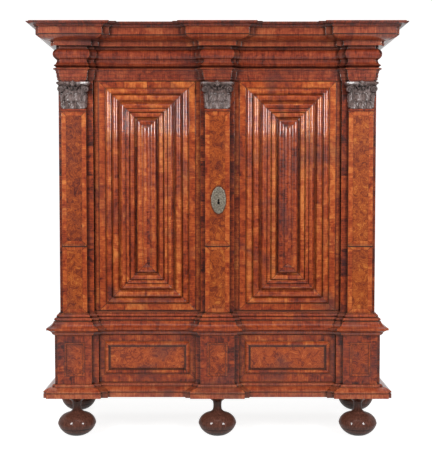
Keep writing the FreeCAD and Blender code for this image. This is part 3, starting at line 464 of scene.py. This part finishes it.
# the quirk is where painted shade lines the inner edge of each drawer frame
drawerLook = {"quirk": 21.5 * mm, "frameShift": 0.12, "border": 12 * mm, "fieldShift": 0.1}
for side, seed in (("left", 1.3), ("right", 41.7)):
    outline = side + "_door_outer_moulding"
    for part, (finish, look) in doorRelief.items():
        layout = mitredRound(outline, **reliefMarks.get(part, {}))
        name, look = "walnutVeneer.%sDoor%s" % (side, finish), {**look, "seed": seed + seedSteps[part]}
        dress([side + "_door_" + part], polishedVeneer(name, layout, **look))
    outline = side + "_drawer_moulding"
    layout = mitredRound(outline, quirk=drawerLook["quirk"])
    look = {"seed": seed + seedSteps["drawerFrame"], "shift": drawerLook["frameShift"]}
    dress([outline], polishedVeneer("walnutVeneer.%sDrawerFrame" % side, layout, **look))
    layout = mitredRound(outline, border=drawerLook["border"])
    look = {"seed": seed + seedSteps["drawer"], "fieldShift": drawerLook["fieldShift"]}
    dress([side + "_drawer_front"], polishedVeneer("burrWalnut.%sDrawer" % side, layout, **look))
print("doors and drawers veneered")

pilasters = {  # how light the lower field is, and how far the upper one differs
    "left": {"seed": 2.2, "fieldShift": 0.11, "upperShift": -0.13},
    "right": {"seed": 6.6, "fieldShift": 0.15, "upperShift": -0.02},
    "centre": {"seed": 12.1, "fieldShift": 0.09, "upperShift": -0.05},
}
redTones = [(0.0, "#2a0d08"), (0.25, "#5d1f10"), (0.5, "#883812"), (0.75, "#a8501b"), (1.0, "#c37631")]
everyPilaster = {"shift": 0.18, "stain": 0.2, "fieldTones": redTones, "waxAndShade": 0.6}
# the cove is a painted shadow under the bead
pilasterMarks = {"split": 986 * mm, "border": 23 * mm, "string": 0.25, "cove": 980.5 * mm}
sunkPanel = {"half": 52.25 * mm, "low": 318 * mm, "high": 490 * mm, "shift": -0.04}
for name, look in pilasters.items():
    layout = mitredRound("pilaster_" + name, **pilasterMarks)
    middle = (layout["low"].x + layout["high"].x) / 2
    if name == "centre":
        plateLow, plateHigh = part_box("escutcheon")
        layout["plate"] = (plateLow + plateHigh) / 2
    veneer = polishedVeneer("burrWalnut.%sPilaster" % name, layout, **everyPilaster, **look)
    dress(["pilaster_" + name], veneer)
    low = Vector((middle - sunkPanel["half"], 0, sunkPanel["low"]))
    high = Vector((middle + sunkPanel["half"], 0, sunkPanel["high"]))
    layout = {"kind": "mitred", "low": low, "high": high, "border": 0.0, "mitre": 0.0}
    look = {"seed": look["seed"] + seedSteps["pedestal"], "shift": sunkPanel["shift"]}
    dress(["pedestal_" + name], polishedVeneer("burrWalnut.%sPedestal" % name, layout, **look))
print("pilasters and pedestals veneered")

stripLook = {"pieceLength": 75 * mm, "pieceShare": 0.26, "shift": -0.05}
strips = polishedVeneer("walnutVeneer.strips", {"kind": "stack"}, **stripLook)
dress(["front_stiles", "centre_strip"], strips)
doorEdgeLook = {"pieceLength": 110 * mm, "seed": 5.0, "shift": 0.18, "bare": "towards the back"}
doorEdges = polishedVeneer("walnutVeneer.doorEdges", {"kind": "stack"}, **doorEdgeLook)
dress(["left_door_frame", "right_door_frame"], doorEdges)
endLook = {
    "pieceLength": 280 * mm, "grainWidth": 9 * mm, "grainLength": 260 * mm, "shift": -0.05,
    "bare": "towards the middle",
}
ends = polishedVeneer("walnutVeneer.ends", {"kind": "boards"}, **endLook)
dress(["side_left", "side_right", "base_sides"], ends)

lengthwise = plainOak("plainOak.lengthwise", 0)
dress(["base_floor", "base_back", "waist_frame", "shelves", "door_stops"], lengthwise)
dress(["top_board", "entablature_frame", "top_cover"], lengthwise)
dress(["shelf_cleats", "left_drawer_box", "right_drawer_box"], plainOak("plainOak.fromFront", 1))
dress(["back_boards"], plainOak("plainOak.upwards", 2, boardNode="back_boards"))
for name, axis in (("cupboard_floor", 0), ("drawer_rails", 1)):
    dress([name], plainOak("plainOak." + name, axis, facedNode=name))

# hollowSize is how far wax and painted shade reach into the hollows
feetLook = {
    "tones": ("#472a21", "#613b30", "#794d40"), "coat": 0.26, "hollowSize": 30 * mm, "roughness": 0.4,
    "specular": 0.05, "coatIor": 1.8, "ring": 41 * mm,
}
carvingLook = {
    "tones": ("#3c2d29", "#66524d", "#958380"), "coat": 0.6, "hollowSize": 10 * mm, "roughness": 0.36,
}
ironLook = {  # forged iron: dark grey, dull
    "tones": ("#2a2724", "#45403b", "#5f5a53"), "roughness": 0.5, "mottle": 14 * mm, "pitting": 0.4 * mm,
}
sootLook = {  # sooty iron inside the lock: nearly black
    "tones": ("#070605", "#0d0b0a", "#151210"), "roughness": 0.75, "mottle": 6 * mm, "pitting": 0.2 * mm,
    "metallic": 0.2,
}
pewterLook = {  # pewter, cast and engraved: grey with a soft shine
    "tones": ("#554d42", "#81786a", "#aaa08d"), "roughness": 0.42, "mottle": 7 * mm, "pitting": 0.25 * mm,
    "metallic": 0.5,
}
turnedFeet = stainedWood("stainedWood.feet", **feetLook)
carved = stainedWood("stainedWood.carving", **carvingLook)
iron = agedMetal("forgedIron", **ironLook)
sootIron = agedMetal("sootIron", **sootLook)
pewter = agedMetal("pewter", **pewterLook)
dress([n for n in nodes if n.startswith("foot_")], turnedFeet)
dress([n for n in nodes if n.startswith("capital_")], carved)
dress(["left_door_pivots", "right_door_pivots", "lock_case", "lock_bolt", "lock_keeper"], iron)
dress(["bolt_staples", "left_door_top_bolt", "left_door_bottom_bolt"], iron)
dress(["escutcheon"], pewter)
print("materials done")


def picked(geometry, kind):  # an operator's result holds vertices, edges and faces together
    return [item for item in geometry if isinstance(item, kind)]


def move(bm, step, verts):
    bmesh.ops.translate(bm, vec=step, verts=verts)


def turnAbout(bm, axis, angle, verts):
    bmesh.ops.rotate(bm, cent=(0, 0, 0), matrix=Matrix.Rotation(angle, 3, axis), verts=verts)


def smoothMesh(name, bm):
    mesh = bpy.data.meshes.new(name)
    bm.to_mesh(mesh)
    bm.free()
    for face in mesh.polygons:
        face.use_smooth = True
    thing = bpy.data.objects.new(name, mesh)
    bpy.context.scene.collection.objects.link(thing)
    return thing


def addPiece(name, bm, body, material, crease=40):  # a finished bmesh becomes a piece on a body
    bmesh.ops.recalc_face_normals(bm, faces=bm.faces)
    piece = smoothMesh(name, bm)
    piece.data.set_sharp_from_angle(angle=math.radians(crease))
    piece.data.materials.append(material)
    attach(piece, body)
    return piece


# Carved capitals, sizes in mm: two rows of acanthus, corner volutes, inner scrolls, abacus with a flower
leafRows = [
    {"foot": 12, "height": 34, "half": 20, "curl": 5.5, "out": 3.0, "lean": 3.5, "at": (-42, 0, 42)},
    {"foot": 26, "height": 60, "half": 20, "curl": 6.5, "out": 1.0, "lean": 4.5, "at": (-21, 21)},
]
cornerLeaf = {
    "foot": 18, "height": 66, "half": 18, "curl": 6.5, "out": 0.5, "lean": 3.5,
    "at": 55, "back": 3, "turn": 48,
}
leafEdge = {
    "lobes": 4, "slant": 0.3, "cut": 0.34, "round": 0.6, "waist": 0.25, "broad": 0.55, "tip": 0.8,
    "swell": 3.4, "veins": 2.4, "rib": 2.2, "ribWidth": 0.12, "curlTurn": 205, "thick": 1.8,
}
volute = {
    "at": (62, 108), "start": 48, "thick": 8.5, "deep": 26, "fore": 9, "turn": 20, "steps": 46,
    "lead": 6, "draw": 0.85, "wind": 0.955, "eye": 4.6, "disc": 15, "sunk": 3,
}
innerScroll = {
    "at": (11.5, 112), "start": 24, "thick": 5.5, "deep": 20, "fore": 6, "turn": 20, "steps": 38,
    "lead": 5, "draw": 0.86, "wind": 0.95, "eye": 3.0, "disc": 8, "sunk": 2,
}
bell = {"half": (56, 57.12), "front": (2, 7), "level": (12, 129)}
neck = {"half": (64.25, 64.25), "front": (8, 8), "level": (0, 12)}
neckRound = {"offset": 5.9 * mm, "segments": 6, "profile": 0.5, "affect": "EDGES", "material": -1}
topBlock = {"half": (62.25, 62.25), "front": (4, 4)}
abacus = {
    "half": 84.5, "out": 25, "dip": 13, "horn": 0.9, "hornCut": 90, "foot": 127,
    "steps": [(0, 0.88), (3, 0.91), (7, 0.93), (8.5, 0.98), (10, 1.0), (16.5, 1.0), (18, 0.97), (19, 0.97)],
}
flower = {"petals": 7, "size": (9, 7, 13), "ring": 8, "boss": 5.5, "bossOut": 1.5, "level": 138, "out": 17}
neckBack = 20 * mm  # the pilaster's thickness behind its face


def carveLeaf(bm, leaf):
    known = set(bm.verts)
    made = bmesh.ops.create_grid(bm, x_segments=14, y_segments=26, size=0.5)["verts"]
    sheet = list({face for vert in made for face in vert.link_faces})
    run = leaf["height"] + leaf["curl"] * math.radians(leafEdge["curlTurn"])
    broad = leafEdge["broad"]
    for vert in made:
        across, up = 2 * vert.co.x, vert.co.y + 0.5
        lobe = abs(math.sin(math.pi * leafEdge["lobes"] * (up - leafEdge["slant"] * (1 - abs(across)))))
        spread = 1 - leafEdge["waist"] * max(0, broad - up) / broad
        spread -= leafEdge["tip"] * max(0, (up - broad) / (1 - broad)) ** 2
        spread *= 1 - leafEdge["cut"] * (1 - lobe ** leafEdge["round"]) * abs(across)
        swell = leafEdge["swell"] * (1 - across ** 2) + leafEdge["veins"] * lobe * abs(across)
        swell += leafEdge["rib"] * math.exp(-(across / leafEdge["ribWidth"]) ** 2)
        length = up * run
        bend = max(0, length - leaf["height"]) / leaf["curl"]
        rise = min(length, leaf["height"]) + leaf["curl"] * math.sin(bend) - swell * math.sin(bend)
        out = leaf["out"] + leaf["lean"] * min(1, length / leaf["height"]) ** 2
        out += leaf["curl"] * (1 - math.cos(bend)) + swell * math.cos(bend)
        vert.co = Vector((across * spread * leaf["half"], -out, leaf["foot"] + rise)) * mm
    bmesh.ops.recalc_face_normals(bm, faces=sheet)
    bmesh.ops.solidify(bm, geom=sheet, thickness=leafEdge["thick"] * mm)
    return [vert for vert in bm.verts if vert not in known]


def rollScroll(bm, roll, side, hand):  # a band wound up like a spring, smaller with every turn
    band = bmesh.ops.create_circle(bm, cap_ends=True, segments=10, radius=0.5)["verts"]
    tip = list(band)
    end = band[0].link_faces[0]
    bmesh.ops.scale(bm, vec=(roll["thick"] * mm, roll["deep"] * mm, 1), verts=tip)
    move(bm, (-hand * roll["start"] * mm, 0, 0), tip)
    for step in range(roll["steps"]):
        grown = bmesh.ops.extrude_face_region(bm, geom=[end])["geom"]
        tip = picked(grown, bmesh.types.BMVert)
        end = picked(grown, bmesh.types.BMFace)[0]
        shrink = roll["draw"] if step < roll["lead"] else roll["wind"]
        turnAbout(bm, "Y", hand * math.radians(roll["turn"]), tip)
        bmesh.ops.scale(bm, vec=(shrink, 1, shrink), verts=tip)
        band += tip
    eye = bmesh.ops.create_uvsphere(bm, u_segments=12, v_segments=8, radius=roll["eye"] * mm)["verts"]
    move(bm, (0, -roll["deep"] / 2 * mm, 0), eye)
    radius = roll["disc"] * mm
    size = {"radius1": radius, "radius2": radius, "depth": (roll["deep"] - 2 * roll["sunk"]) * mm}
    disc = bmesh.ops.create_cone(bm, cap_ends=True, segments=28, **size)["verts"]
    turnAbout(bm, "X", math.radians(90), disc)
    x, z = roll["at"]
    move(bm, Vector((side * x, -roll["fore"], z)) * mm, band + eye + disc)


def cutAbacus(bm):  # a slab with a hollow front, drawn up through its mouldings
    slab = bmesh.ops.create_grid(bm, x_segments=32, y_segments=1, size=0.5)["verts"]
    top = list({face for vert in slab for face in vert.link_faces})
    for vert in slab:
        share = 2 * vert.co.x
        reach = abacus["dip"] + (abacus["out"] - abacus["dip"]) * (share / abacus["horn"]) ** 2
        reach = min(reach, abacus["out"] - abacus["hornCut"] * max(0, abs(share) - abacus["horn"]))
        vert.co = Vector((share * abacus["half"] * mm, -(reach * mm + neckBack) if vert.co.y < 0 else 0, 0))
    level, size = abacus["steps"][0]
    bmesh.ops.scale(bm, vec=(size, size, 1), verts=slab)
    every = list(slab)
    for nextLevel, nextSize in abacus["steps"][1:]:
        grown = bmesh.ops.extrude_face_region(bm, geom=top)["geom"]
        top = picked(grown, bmesh.types.BMFace)
        raised = picked(grown, bmesh.types.BMVert)
        move(bm, (0, 0, (nextLevel - level) * mm), raised)
        bmesh.ops.scale(bm, vec=(nextSize / size, nextSize / size, 1), verts=raised)
        level, size = nextLevel, nextSize
        every += raised
    move(bm, (0, neckBack, abacus["foot"] * mm), every)


def addBlock(bm, half, front, level):  # each pair gives the block's foot and its top
    for vert in bmesh.ops.create_cube(bm, size=1)["verts"]:
        end = vert.co.z > 0
        vert.co.x *= 2 * half[end] * mm
        vert.co.y = -front[end] * mm if vert.co.y < 0 else neckBack
        vert.co.z = level[end] * mm


def carveCapital(name, body):
    node = "capital_" + name
    low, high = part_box(node)
    seat = Vector(((low.x + high.x) / 2, low.y + abacus["out"] * mm, low.z))
    bm = bmesh.new()
    addBlock(bm, **bell)
    for row in leafRows:
        for x in row["at"]:
            leaf = carveLeaf(bm, row)
            move(bm, (x * mm, 0, 0), leaf)
    for hand in (-1, 1):
        leaf = carveLeaf(bm, cornerLeaf)
        turnAbout(bm, "Z", hand * math.radians(cornerLeaf["turn"]), leaf)
        move(bm, (hand * cornerLeaf["at"] * mm, cornerLeaf["back"] * mm, 0), leaf)
        rollScroll(bm, volute, hand, hand)
        rollScroll(bm, innerScroll, hand, -hand)
    cutAbacus(bm)
    for k in range(flower["petals"]):
        petal = bmesh.ops.create_uvsphere(bm, u_segments=10, v_segments=8, radius=0.5)["verts"]
        bmesh.ops.scale(bm, vec=Vector(flower["size"]) * mm, verts=petal)
        move(bm, (0, 0, flower["ring"] * mm), petal)
        turnAbout(bm, "Y", 2 * math.pi * k / flower["petals"], petal)
        move(bm, (0, -flower["out"] * mm, flower["level"] * mm), petal)
    boss = bmesh.ops.create_uvsphere(bm, u_segments=14, v_segments=10, radius=flower["boss"] * mm)["verts"]
    bossAt = Vector((0, -(flower["out"] + flower["bossOut"]), flower["level"])) * mm
    move(bm, bossAt, boss)
    move(bm, seat, bm.verts)
    piece = addPiece("carvedCapital." + name, bm, body, carved)
    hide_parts(node)
    bm = bmesh.new()  # the bead under the carving and the block over it
    addBlock(bm, **neck)
    fronts = [edge for edge in bm.edges if all(vert.co.y < 0 for vert in edge.verts)]
    fronts = [edge for edge in fronts if abs(edge.verts[0].co.x - edge.verts[1].co.x) > mm]
    bmesh.ops.bevel(bm, geom=fronts, **neckRound)
    addBlock(bm, **topBlock, level=(abacus["foot"] + abacus["steps"][-1][0], (high.z - low.z) / mm))
    move(bm, seat, bm.verts)
    addPiece("astragal." + name, bm, body, strips)


for name, body in (("left", "carcass"), ("right", "carcass"), ("centre", "right_door")):
    carveCapital(name, body)
print("capitals carved")


# Key plate: a pointed oval with a corded rim and engraved scrolls, pinned at four places; sizes in mm
keyPlate = {
    "half": 37.5, "rise": 70, "point": 0.05, "thick": 2.2, "edge": 0.7, "relief": 0.8,
    "rings": 30, "around": 128, "waves": ((0.012, 11, 0), (0.008, 17, 1)), "fit": 1.02,
}
cordedRim = {"at": 0.9, "half": 0.06, "level": 0.65, "twist": 0.35, "strands": 44, "slant": 30}
scrollwork = {
    "lobes": 5, "wind": 9, "leaves": 3, "spread": 7, "depth": 0.45, "reach": 0.82, "start": 0.1, "core": 0.05,
}
keyHole = {"eye": 5, "foot": 6.5, "drop": 14.5, "slot": 3, "middle": 8, "longest": 14, "steep": 0.2}
lockFace = {"deep": 8, "thick": 11.5}
platePin = {"radius": 2.6, "proud": 1.6, "lift": 0.3, "share": 0.88, "turns": (45, 135, 225, 315)}


def plateEdge(angle):  # the oval's edge, drawn out to a point above and below and a little uneven
    slim = 1 - keyPlate["point"] * abs(math.sin(angle)) ** 3
    wave = 1 + sum(size * math.sin(times * angle + start) for size, times, start in keyPlate["waves"])
    edge = Vector((keyPlate["half"] * math.cos(angle) * slim, 0, keyPlate["rise"] * math.sin(angle)))
    return edge * wave / keyPlate["fit"]


def holeEdge(angle):  # the farthest point on a ray that is still inside the eye, the slot or the foot
    ray = Vector((math.cos(angle), 0, math.sin(angle)))
    reach = keyHole["slot"] / max(abs(ray.x), keyHole["steep"])
    centres = {"eye": keyHole["middle"], "foot": keyHole["middle"] - keyHole["drop"]}
    for name, z in centres.items():
        along = ray.z * z
        room = keyHole[name] ** 2 - z ** 2 + along ** 2
        if room > 0 and along + math.sqrt(room) > 0:
            reach = max(reach, along + math.sqrt(room))
    return ray * min(reach, keyHole["longest"]) - Vector((0, 0, keyHole["middle"]))


def engraving(spot, share):  # how far the plate's face stands out at a spot
    x, z = spot.x / keyPlate["half"], spot.z / keyPlate["rise"]
    turn, reach = math.atan2(z, x), math.hypot(x, z)
    cord = max(0, 1 - ((reach - cordedRim["at"]) / cordedRim["half"]) ** 2)
    strand = math.sin(cordedRim["strands"] * turn + cordedRim["slant"] * reach)
    cord *= cordedRim["level"] + cordedRim["twist"] * strand
    winding = scrollwork["wind"] * math.log(max(reach, scrollwork["core"]))
    scroll = math.sin(scrollwork["lobes"] * turn + winding)
    scroll *= math.sin(scrollwork["leaves"] * turn - scrollwork["spread"] * reach)
    if reach >= scrollwork["reach"] or share <= scrollwork["start"]:
        scroll = 0
    return keyPlate["thick"] + keyPlate["relief"] * (cord + scrollwork["depth"] * scroll)


def engraveKeyPlate():
    low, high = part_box("escutcheon")
    seat = Vector(((low.x + high.x) / 2, high.y, (low.z + high.z) / 2))
    rings = keyPlate["rings"]
    bm = bmesh.new()
    rim = bmesh.ops.create_circle(bm, segments=keyPlate["around"], radius=1)["verts"]
    loop = list({edge for vert in rim for edge in vert.link_edges})
    faces = []
    for ring in range(rings):
        grown = bmesh.ops.extrude_edge_only(bm, edges=loop)["geom"]
        loop = picked(grown, bmesh.types.BMEdge)
        faces += picked(grown, bmesh.types.BMFace)
        shrink = (rings - ring) / (rings - ring + 1)
        bmesh.ops.scale(bm, vec=(shrink,) * 3, verts=picked(grown, bmesh.types.BMVert))
    for vert in bm.verts:
        angle = math.atan2(vert.co.y, vert.co.x)
        share = (vert.co.length * (rings + 1) - 1) / rings
        spot = holeEdge(angle).lerp(plateEdge(angle), share)
        lift = engraving(spot, share) if share < 0.999 else keyPlate["edge"] * keyPlate["thick"]
        vert.co = Vector((spot.x, -lift, spot.z)) * mm
    bmesh.ops.recalc_face_normals(bm, faces=faces)
    grown = bmesh.ops.extrude_edge_only(bm, edges=[edge for edge in bm.edges if edge.is_boundary])["geom"]
    for vert in picked(grown, bmesh.types.BMVert):
        vert.co.y = 0
    bmesh.ops.bridge_loops(bm, edges=[edge for edge in bm.edges if edge.is_boundary])
    radius = platePin["radius"] * mm
    for degrees in platePin["turns"]:
        pin = bmesh.ops.create_uvsphere(bm, u_segments=16, v_segments=8, radius=radius)["verts"]
        place = plateEdge(math.radians(degrees)) * platePin["share"]
        place.y = -(keyPlate["thick"] + platePin["lift"])
        bmesh.ops.scale(bm, vec=(1, platePin["proud"] / platePin["radius"], 1), verts=pin)
        move(bm, place * mm, pin)
    move(bm, seat, bm.verts)
    plate = addPiece("keyPlate", bm, "right_door", pewter)
    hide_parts("escutcheon")
    bm = bmesh.new()  # the lock's face, deep in the hole
    outline = bmesh.ops.create_circle(bm, cap_ends=True, segments=64, radius=1)["verts"]
    end = outline[0].link_faces[0]
    for vert in outline:
        spot = holeEdge(math.atan2(vert.co.y, vert.co.x))
        vert.co = Vector((spot.x, lockFace["deep"], spot.z)) * mm
    grown = bmesh.ops.extrude_face_region(bm, geom=[end])["geom"]
    move(bm, (0, lockFace["thick"] * mm, 0), picked(grown, bmesh.types.BMVert))
    move(bm, seat, bm.verts)
    addPiece("lockFace", bm, "right_door", sootIron)


engraveKeyPlate()
print("key plate engraved")


# Hand-forged nails with faceted heads: they hold the lock and its keeper
nail = {
    "radius": 5 * mm, "tip": 0.35, "proud": 3.2 * mm, "lift": 0.4, "facets": 7, "turn": 0.7, "inset": 9 * mm,
}
keeperNail = 0.6  # the keeper's nails are smaller


def driveNails(name, body, spots, size=1.0):  # every head looks towards the back, +Y
    bm = bmesh.new()
    radius, proud = nail["radius"] * size, nail["proud"] * size
    shape = {"segments": nail["facets"], "radius1": radius, "radius2": nail["tip"] * radius, "depth": proud}
    for k, spot in enumerate(spots):
        head = bmesh.ops.create_cone(bm, cap_ends=True, **shape)["verts"]
        turnAbout(bm, "Z", k * nail["turn"], head)
        turnAbout(bm, "X", math.radians(-90), head)
        move(bm, Vector(spot) + Vector((0, nail["lift"] * proud, 0)), head)
    addPiece(name, bm, body, iron, crease=20)


low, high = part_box("lock_case")
inset = nail["inset"]
corners = [(x, high.y, z) for x in (low.x + inset, high.x - inset) for z in (low.z + inset, high.z - inset)]
driveNails("lockNails", "right_door", corners)
low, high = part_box("lock_keeper")
inset = keeperNail * nail["inset"]
keeperEnds = [((low.x + high.x) / 2, high.y, z) for z in (low.z + inset, high.z - inset)]
driveNails("keeperNails", "left_door", keeperEnds, keeperNail)
print("nails driven")


# White paper sweep, matt: floor and backdrop in one sheet, white to the camera, with the shadow of the feet
studio = {
    "half": 40.0, "front": -12.0, "back": 12.0, "height": 14.0, "bend": 2.5,
    "tone": "#b0b0b0", "roughness": 0.9,
    "shadow": (1.2, 3.5, 0.88, 1.0),  # near the feet the lamps add the rest, so a shadow shows
    "room": (-1.6, -0.6, 0.05, 0.55),  # the polish mirrors a darker room in front
    "roomSky": (-0.2, 0.2, 0.16, 0.6), "skyLight": 0.16,
}
white = (1, 1, 1, 1)


def paperSweep():
    bm = bmesh.new()
    depth = studio["back"] - studio["front"]
    bmesh.ops.create_grid(bm, x_segments=1, y_segments=1, size=0.5)
    bmesh.ops.scale(bm, vec=(2 * studio["half"], depth, 1), verts=bm.verts)
    move(bm, (0, studio["front"] + depth / 2, 0), bm.verts)
    rear = [edge for edge in bm.edges if all(vert.co.y > studio["back"] - 0.01 for vert in edge.verts)]
    wall = bmesh.ops.extrude_edge_only(bm, edges=rear)["geom"]
    move(bm, (0, 0, studio["height"]), picked(wall, bmesh.types.BMVert))
    bend = {"offset": studio["bend"], "segments": 24, "profile": 0.5, "affect": "EDGES", "material": -1}
    bmesh.ops.bevel(bm, geom=rear, **bend)
    return smoothMesh("paperSweep", bm)


def mirroredRays(tree):  # the camera's rays, and those that polish and metal send on
    rays = addNode(tree, "LightPath").outputs
    mirrored = [rays["Is Glossy Ray"], rays["Is Transmission Ray"]]
    return rays["Is Camera Ray"], addNode(tree, "Math", mirrored, operation="MAXIMUM")


sweep = paperSweep()
paper, tree, shader = newMaterial("studioPaper")
cameraRay, mirrored = mirroredRays(tree)
spot = addNode(tree, "TexCoord").outputs["Object"]
reach = addNode(tree, "VectorMath", [spot], operation="LENGTH").outputs["Value"]
near = addNode(tree, "MapRange", [reach, *studio["shadow"]])
seen = addNode(tree, "Math", [cameraRay, near], operation="MULTIPLY")
deep = addNode(tree, "SeparateXYZ", [spot]).outputs[1]
fade = addNode(tree, "MapRange", [deep, *studio["room"]])
mirrored = addNode(tree, "Math", [mirrored, fade], operation="MULTIPLY")
glow = addNode(tree, "Math", [seen, mirrored], operation="MAXIMUM")
setInputs(tree, shader, {
    "Base Color": linear(studio["tone"]), "Roughness": studio["roughness"], "Specular IOR Level": 0.0,
    "Emission Color": white, "Emission Strength": glow,
})
sweep.data.materials.append(paper)

softboxes = {
    "left": {"at": (-2.5, -3.1, 2.4), "aim": (0.1, -0.3, 1.1), "size": (0.75, 1.3), "watts": 95},
    "right": {"at": (2.5, -3.1, 2.4), "aim": (-0.1, -0.3, 1.1), "size": (0.75, 1.3), "watts": 95},
    "top": {"at": (0.0, -1.6, 4.6), "aim": (0.0, -0.1, 1.0), "size": (3.0, 2.0), "watts": 22},
    "rear": {"at": (0.0, 4.2, 4.2), "aim": (0.0, 0.4, 1.1), "size": (2.6, 1.4), "watts": 60},
}
for name, box in softboxes.items():
    lamp = bpy.data.lights.new("softbox." + name, "AREA")
    lamp.shape = "RECTANGLE"
    lamp.size, lamp.size_y = box["size"]
    lamp.energy = box["watts"]
    holder = bpy.data.objects.new("softbox." + name, lamp)
    holder.location = box["at"]
    holder.rotation_euler = (Vector(box["aim"]) - Vector(box["at"])).to_track_quat("-Z", "Y").to_euler()
    bpy.context.scene.collection.objects.link(holder)

world = bpy.data.worlds.new("studio")
bpy.context.scene.world = world
world.use_nodes = True
tree = world.node_tree
cameraRay, mirrored = mirroredRays(tree)
toward = addNode(tree, "SeparateXYZ", [addNode(tree, "TexCoord").outputs["Generated"]]).outputs[1]
behind = addNode(tree, "MapRange", [toward, *studio["roomSky"]])
sky = addNode(tree, "Mix", {0: mirrored, 2: studio["skyLight"], 3: behind})
glow = addNode(tree, "Math", [sky, cameraRay], operation="MAXIMUM")
setInputs(tree, tree.nodes["Background"], {"Color": white, "Strength": glow})
print("studio lit")

view = {"lens": 69.93, "at": (-0.0071, -4.745, 1.294), "tilt": math.radians(90 - 2.7)}
camera = bpy.data.objects.new("camera", bpy.data.cameras.new("camera"))
camera.data.lens = view["lens"]
camera.location = view["at"]
camera.rotation_euler = (view["tilt"], 0, 0)
bpy.context.scene.collection.objects.link(camera)
bpy.context.scene.camera = camera
bpy.context.scene.view_settings.view_transform = "Standard"
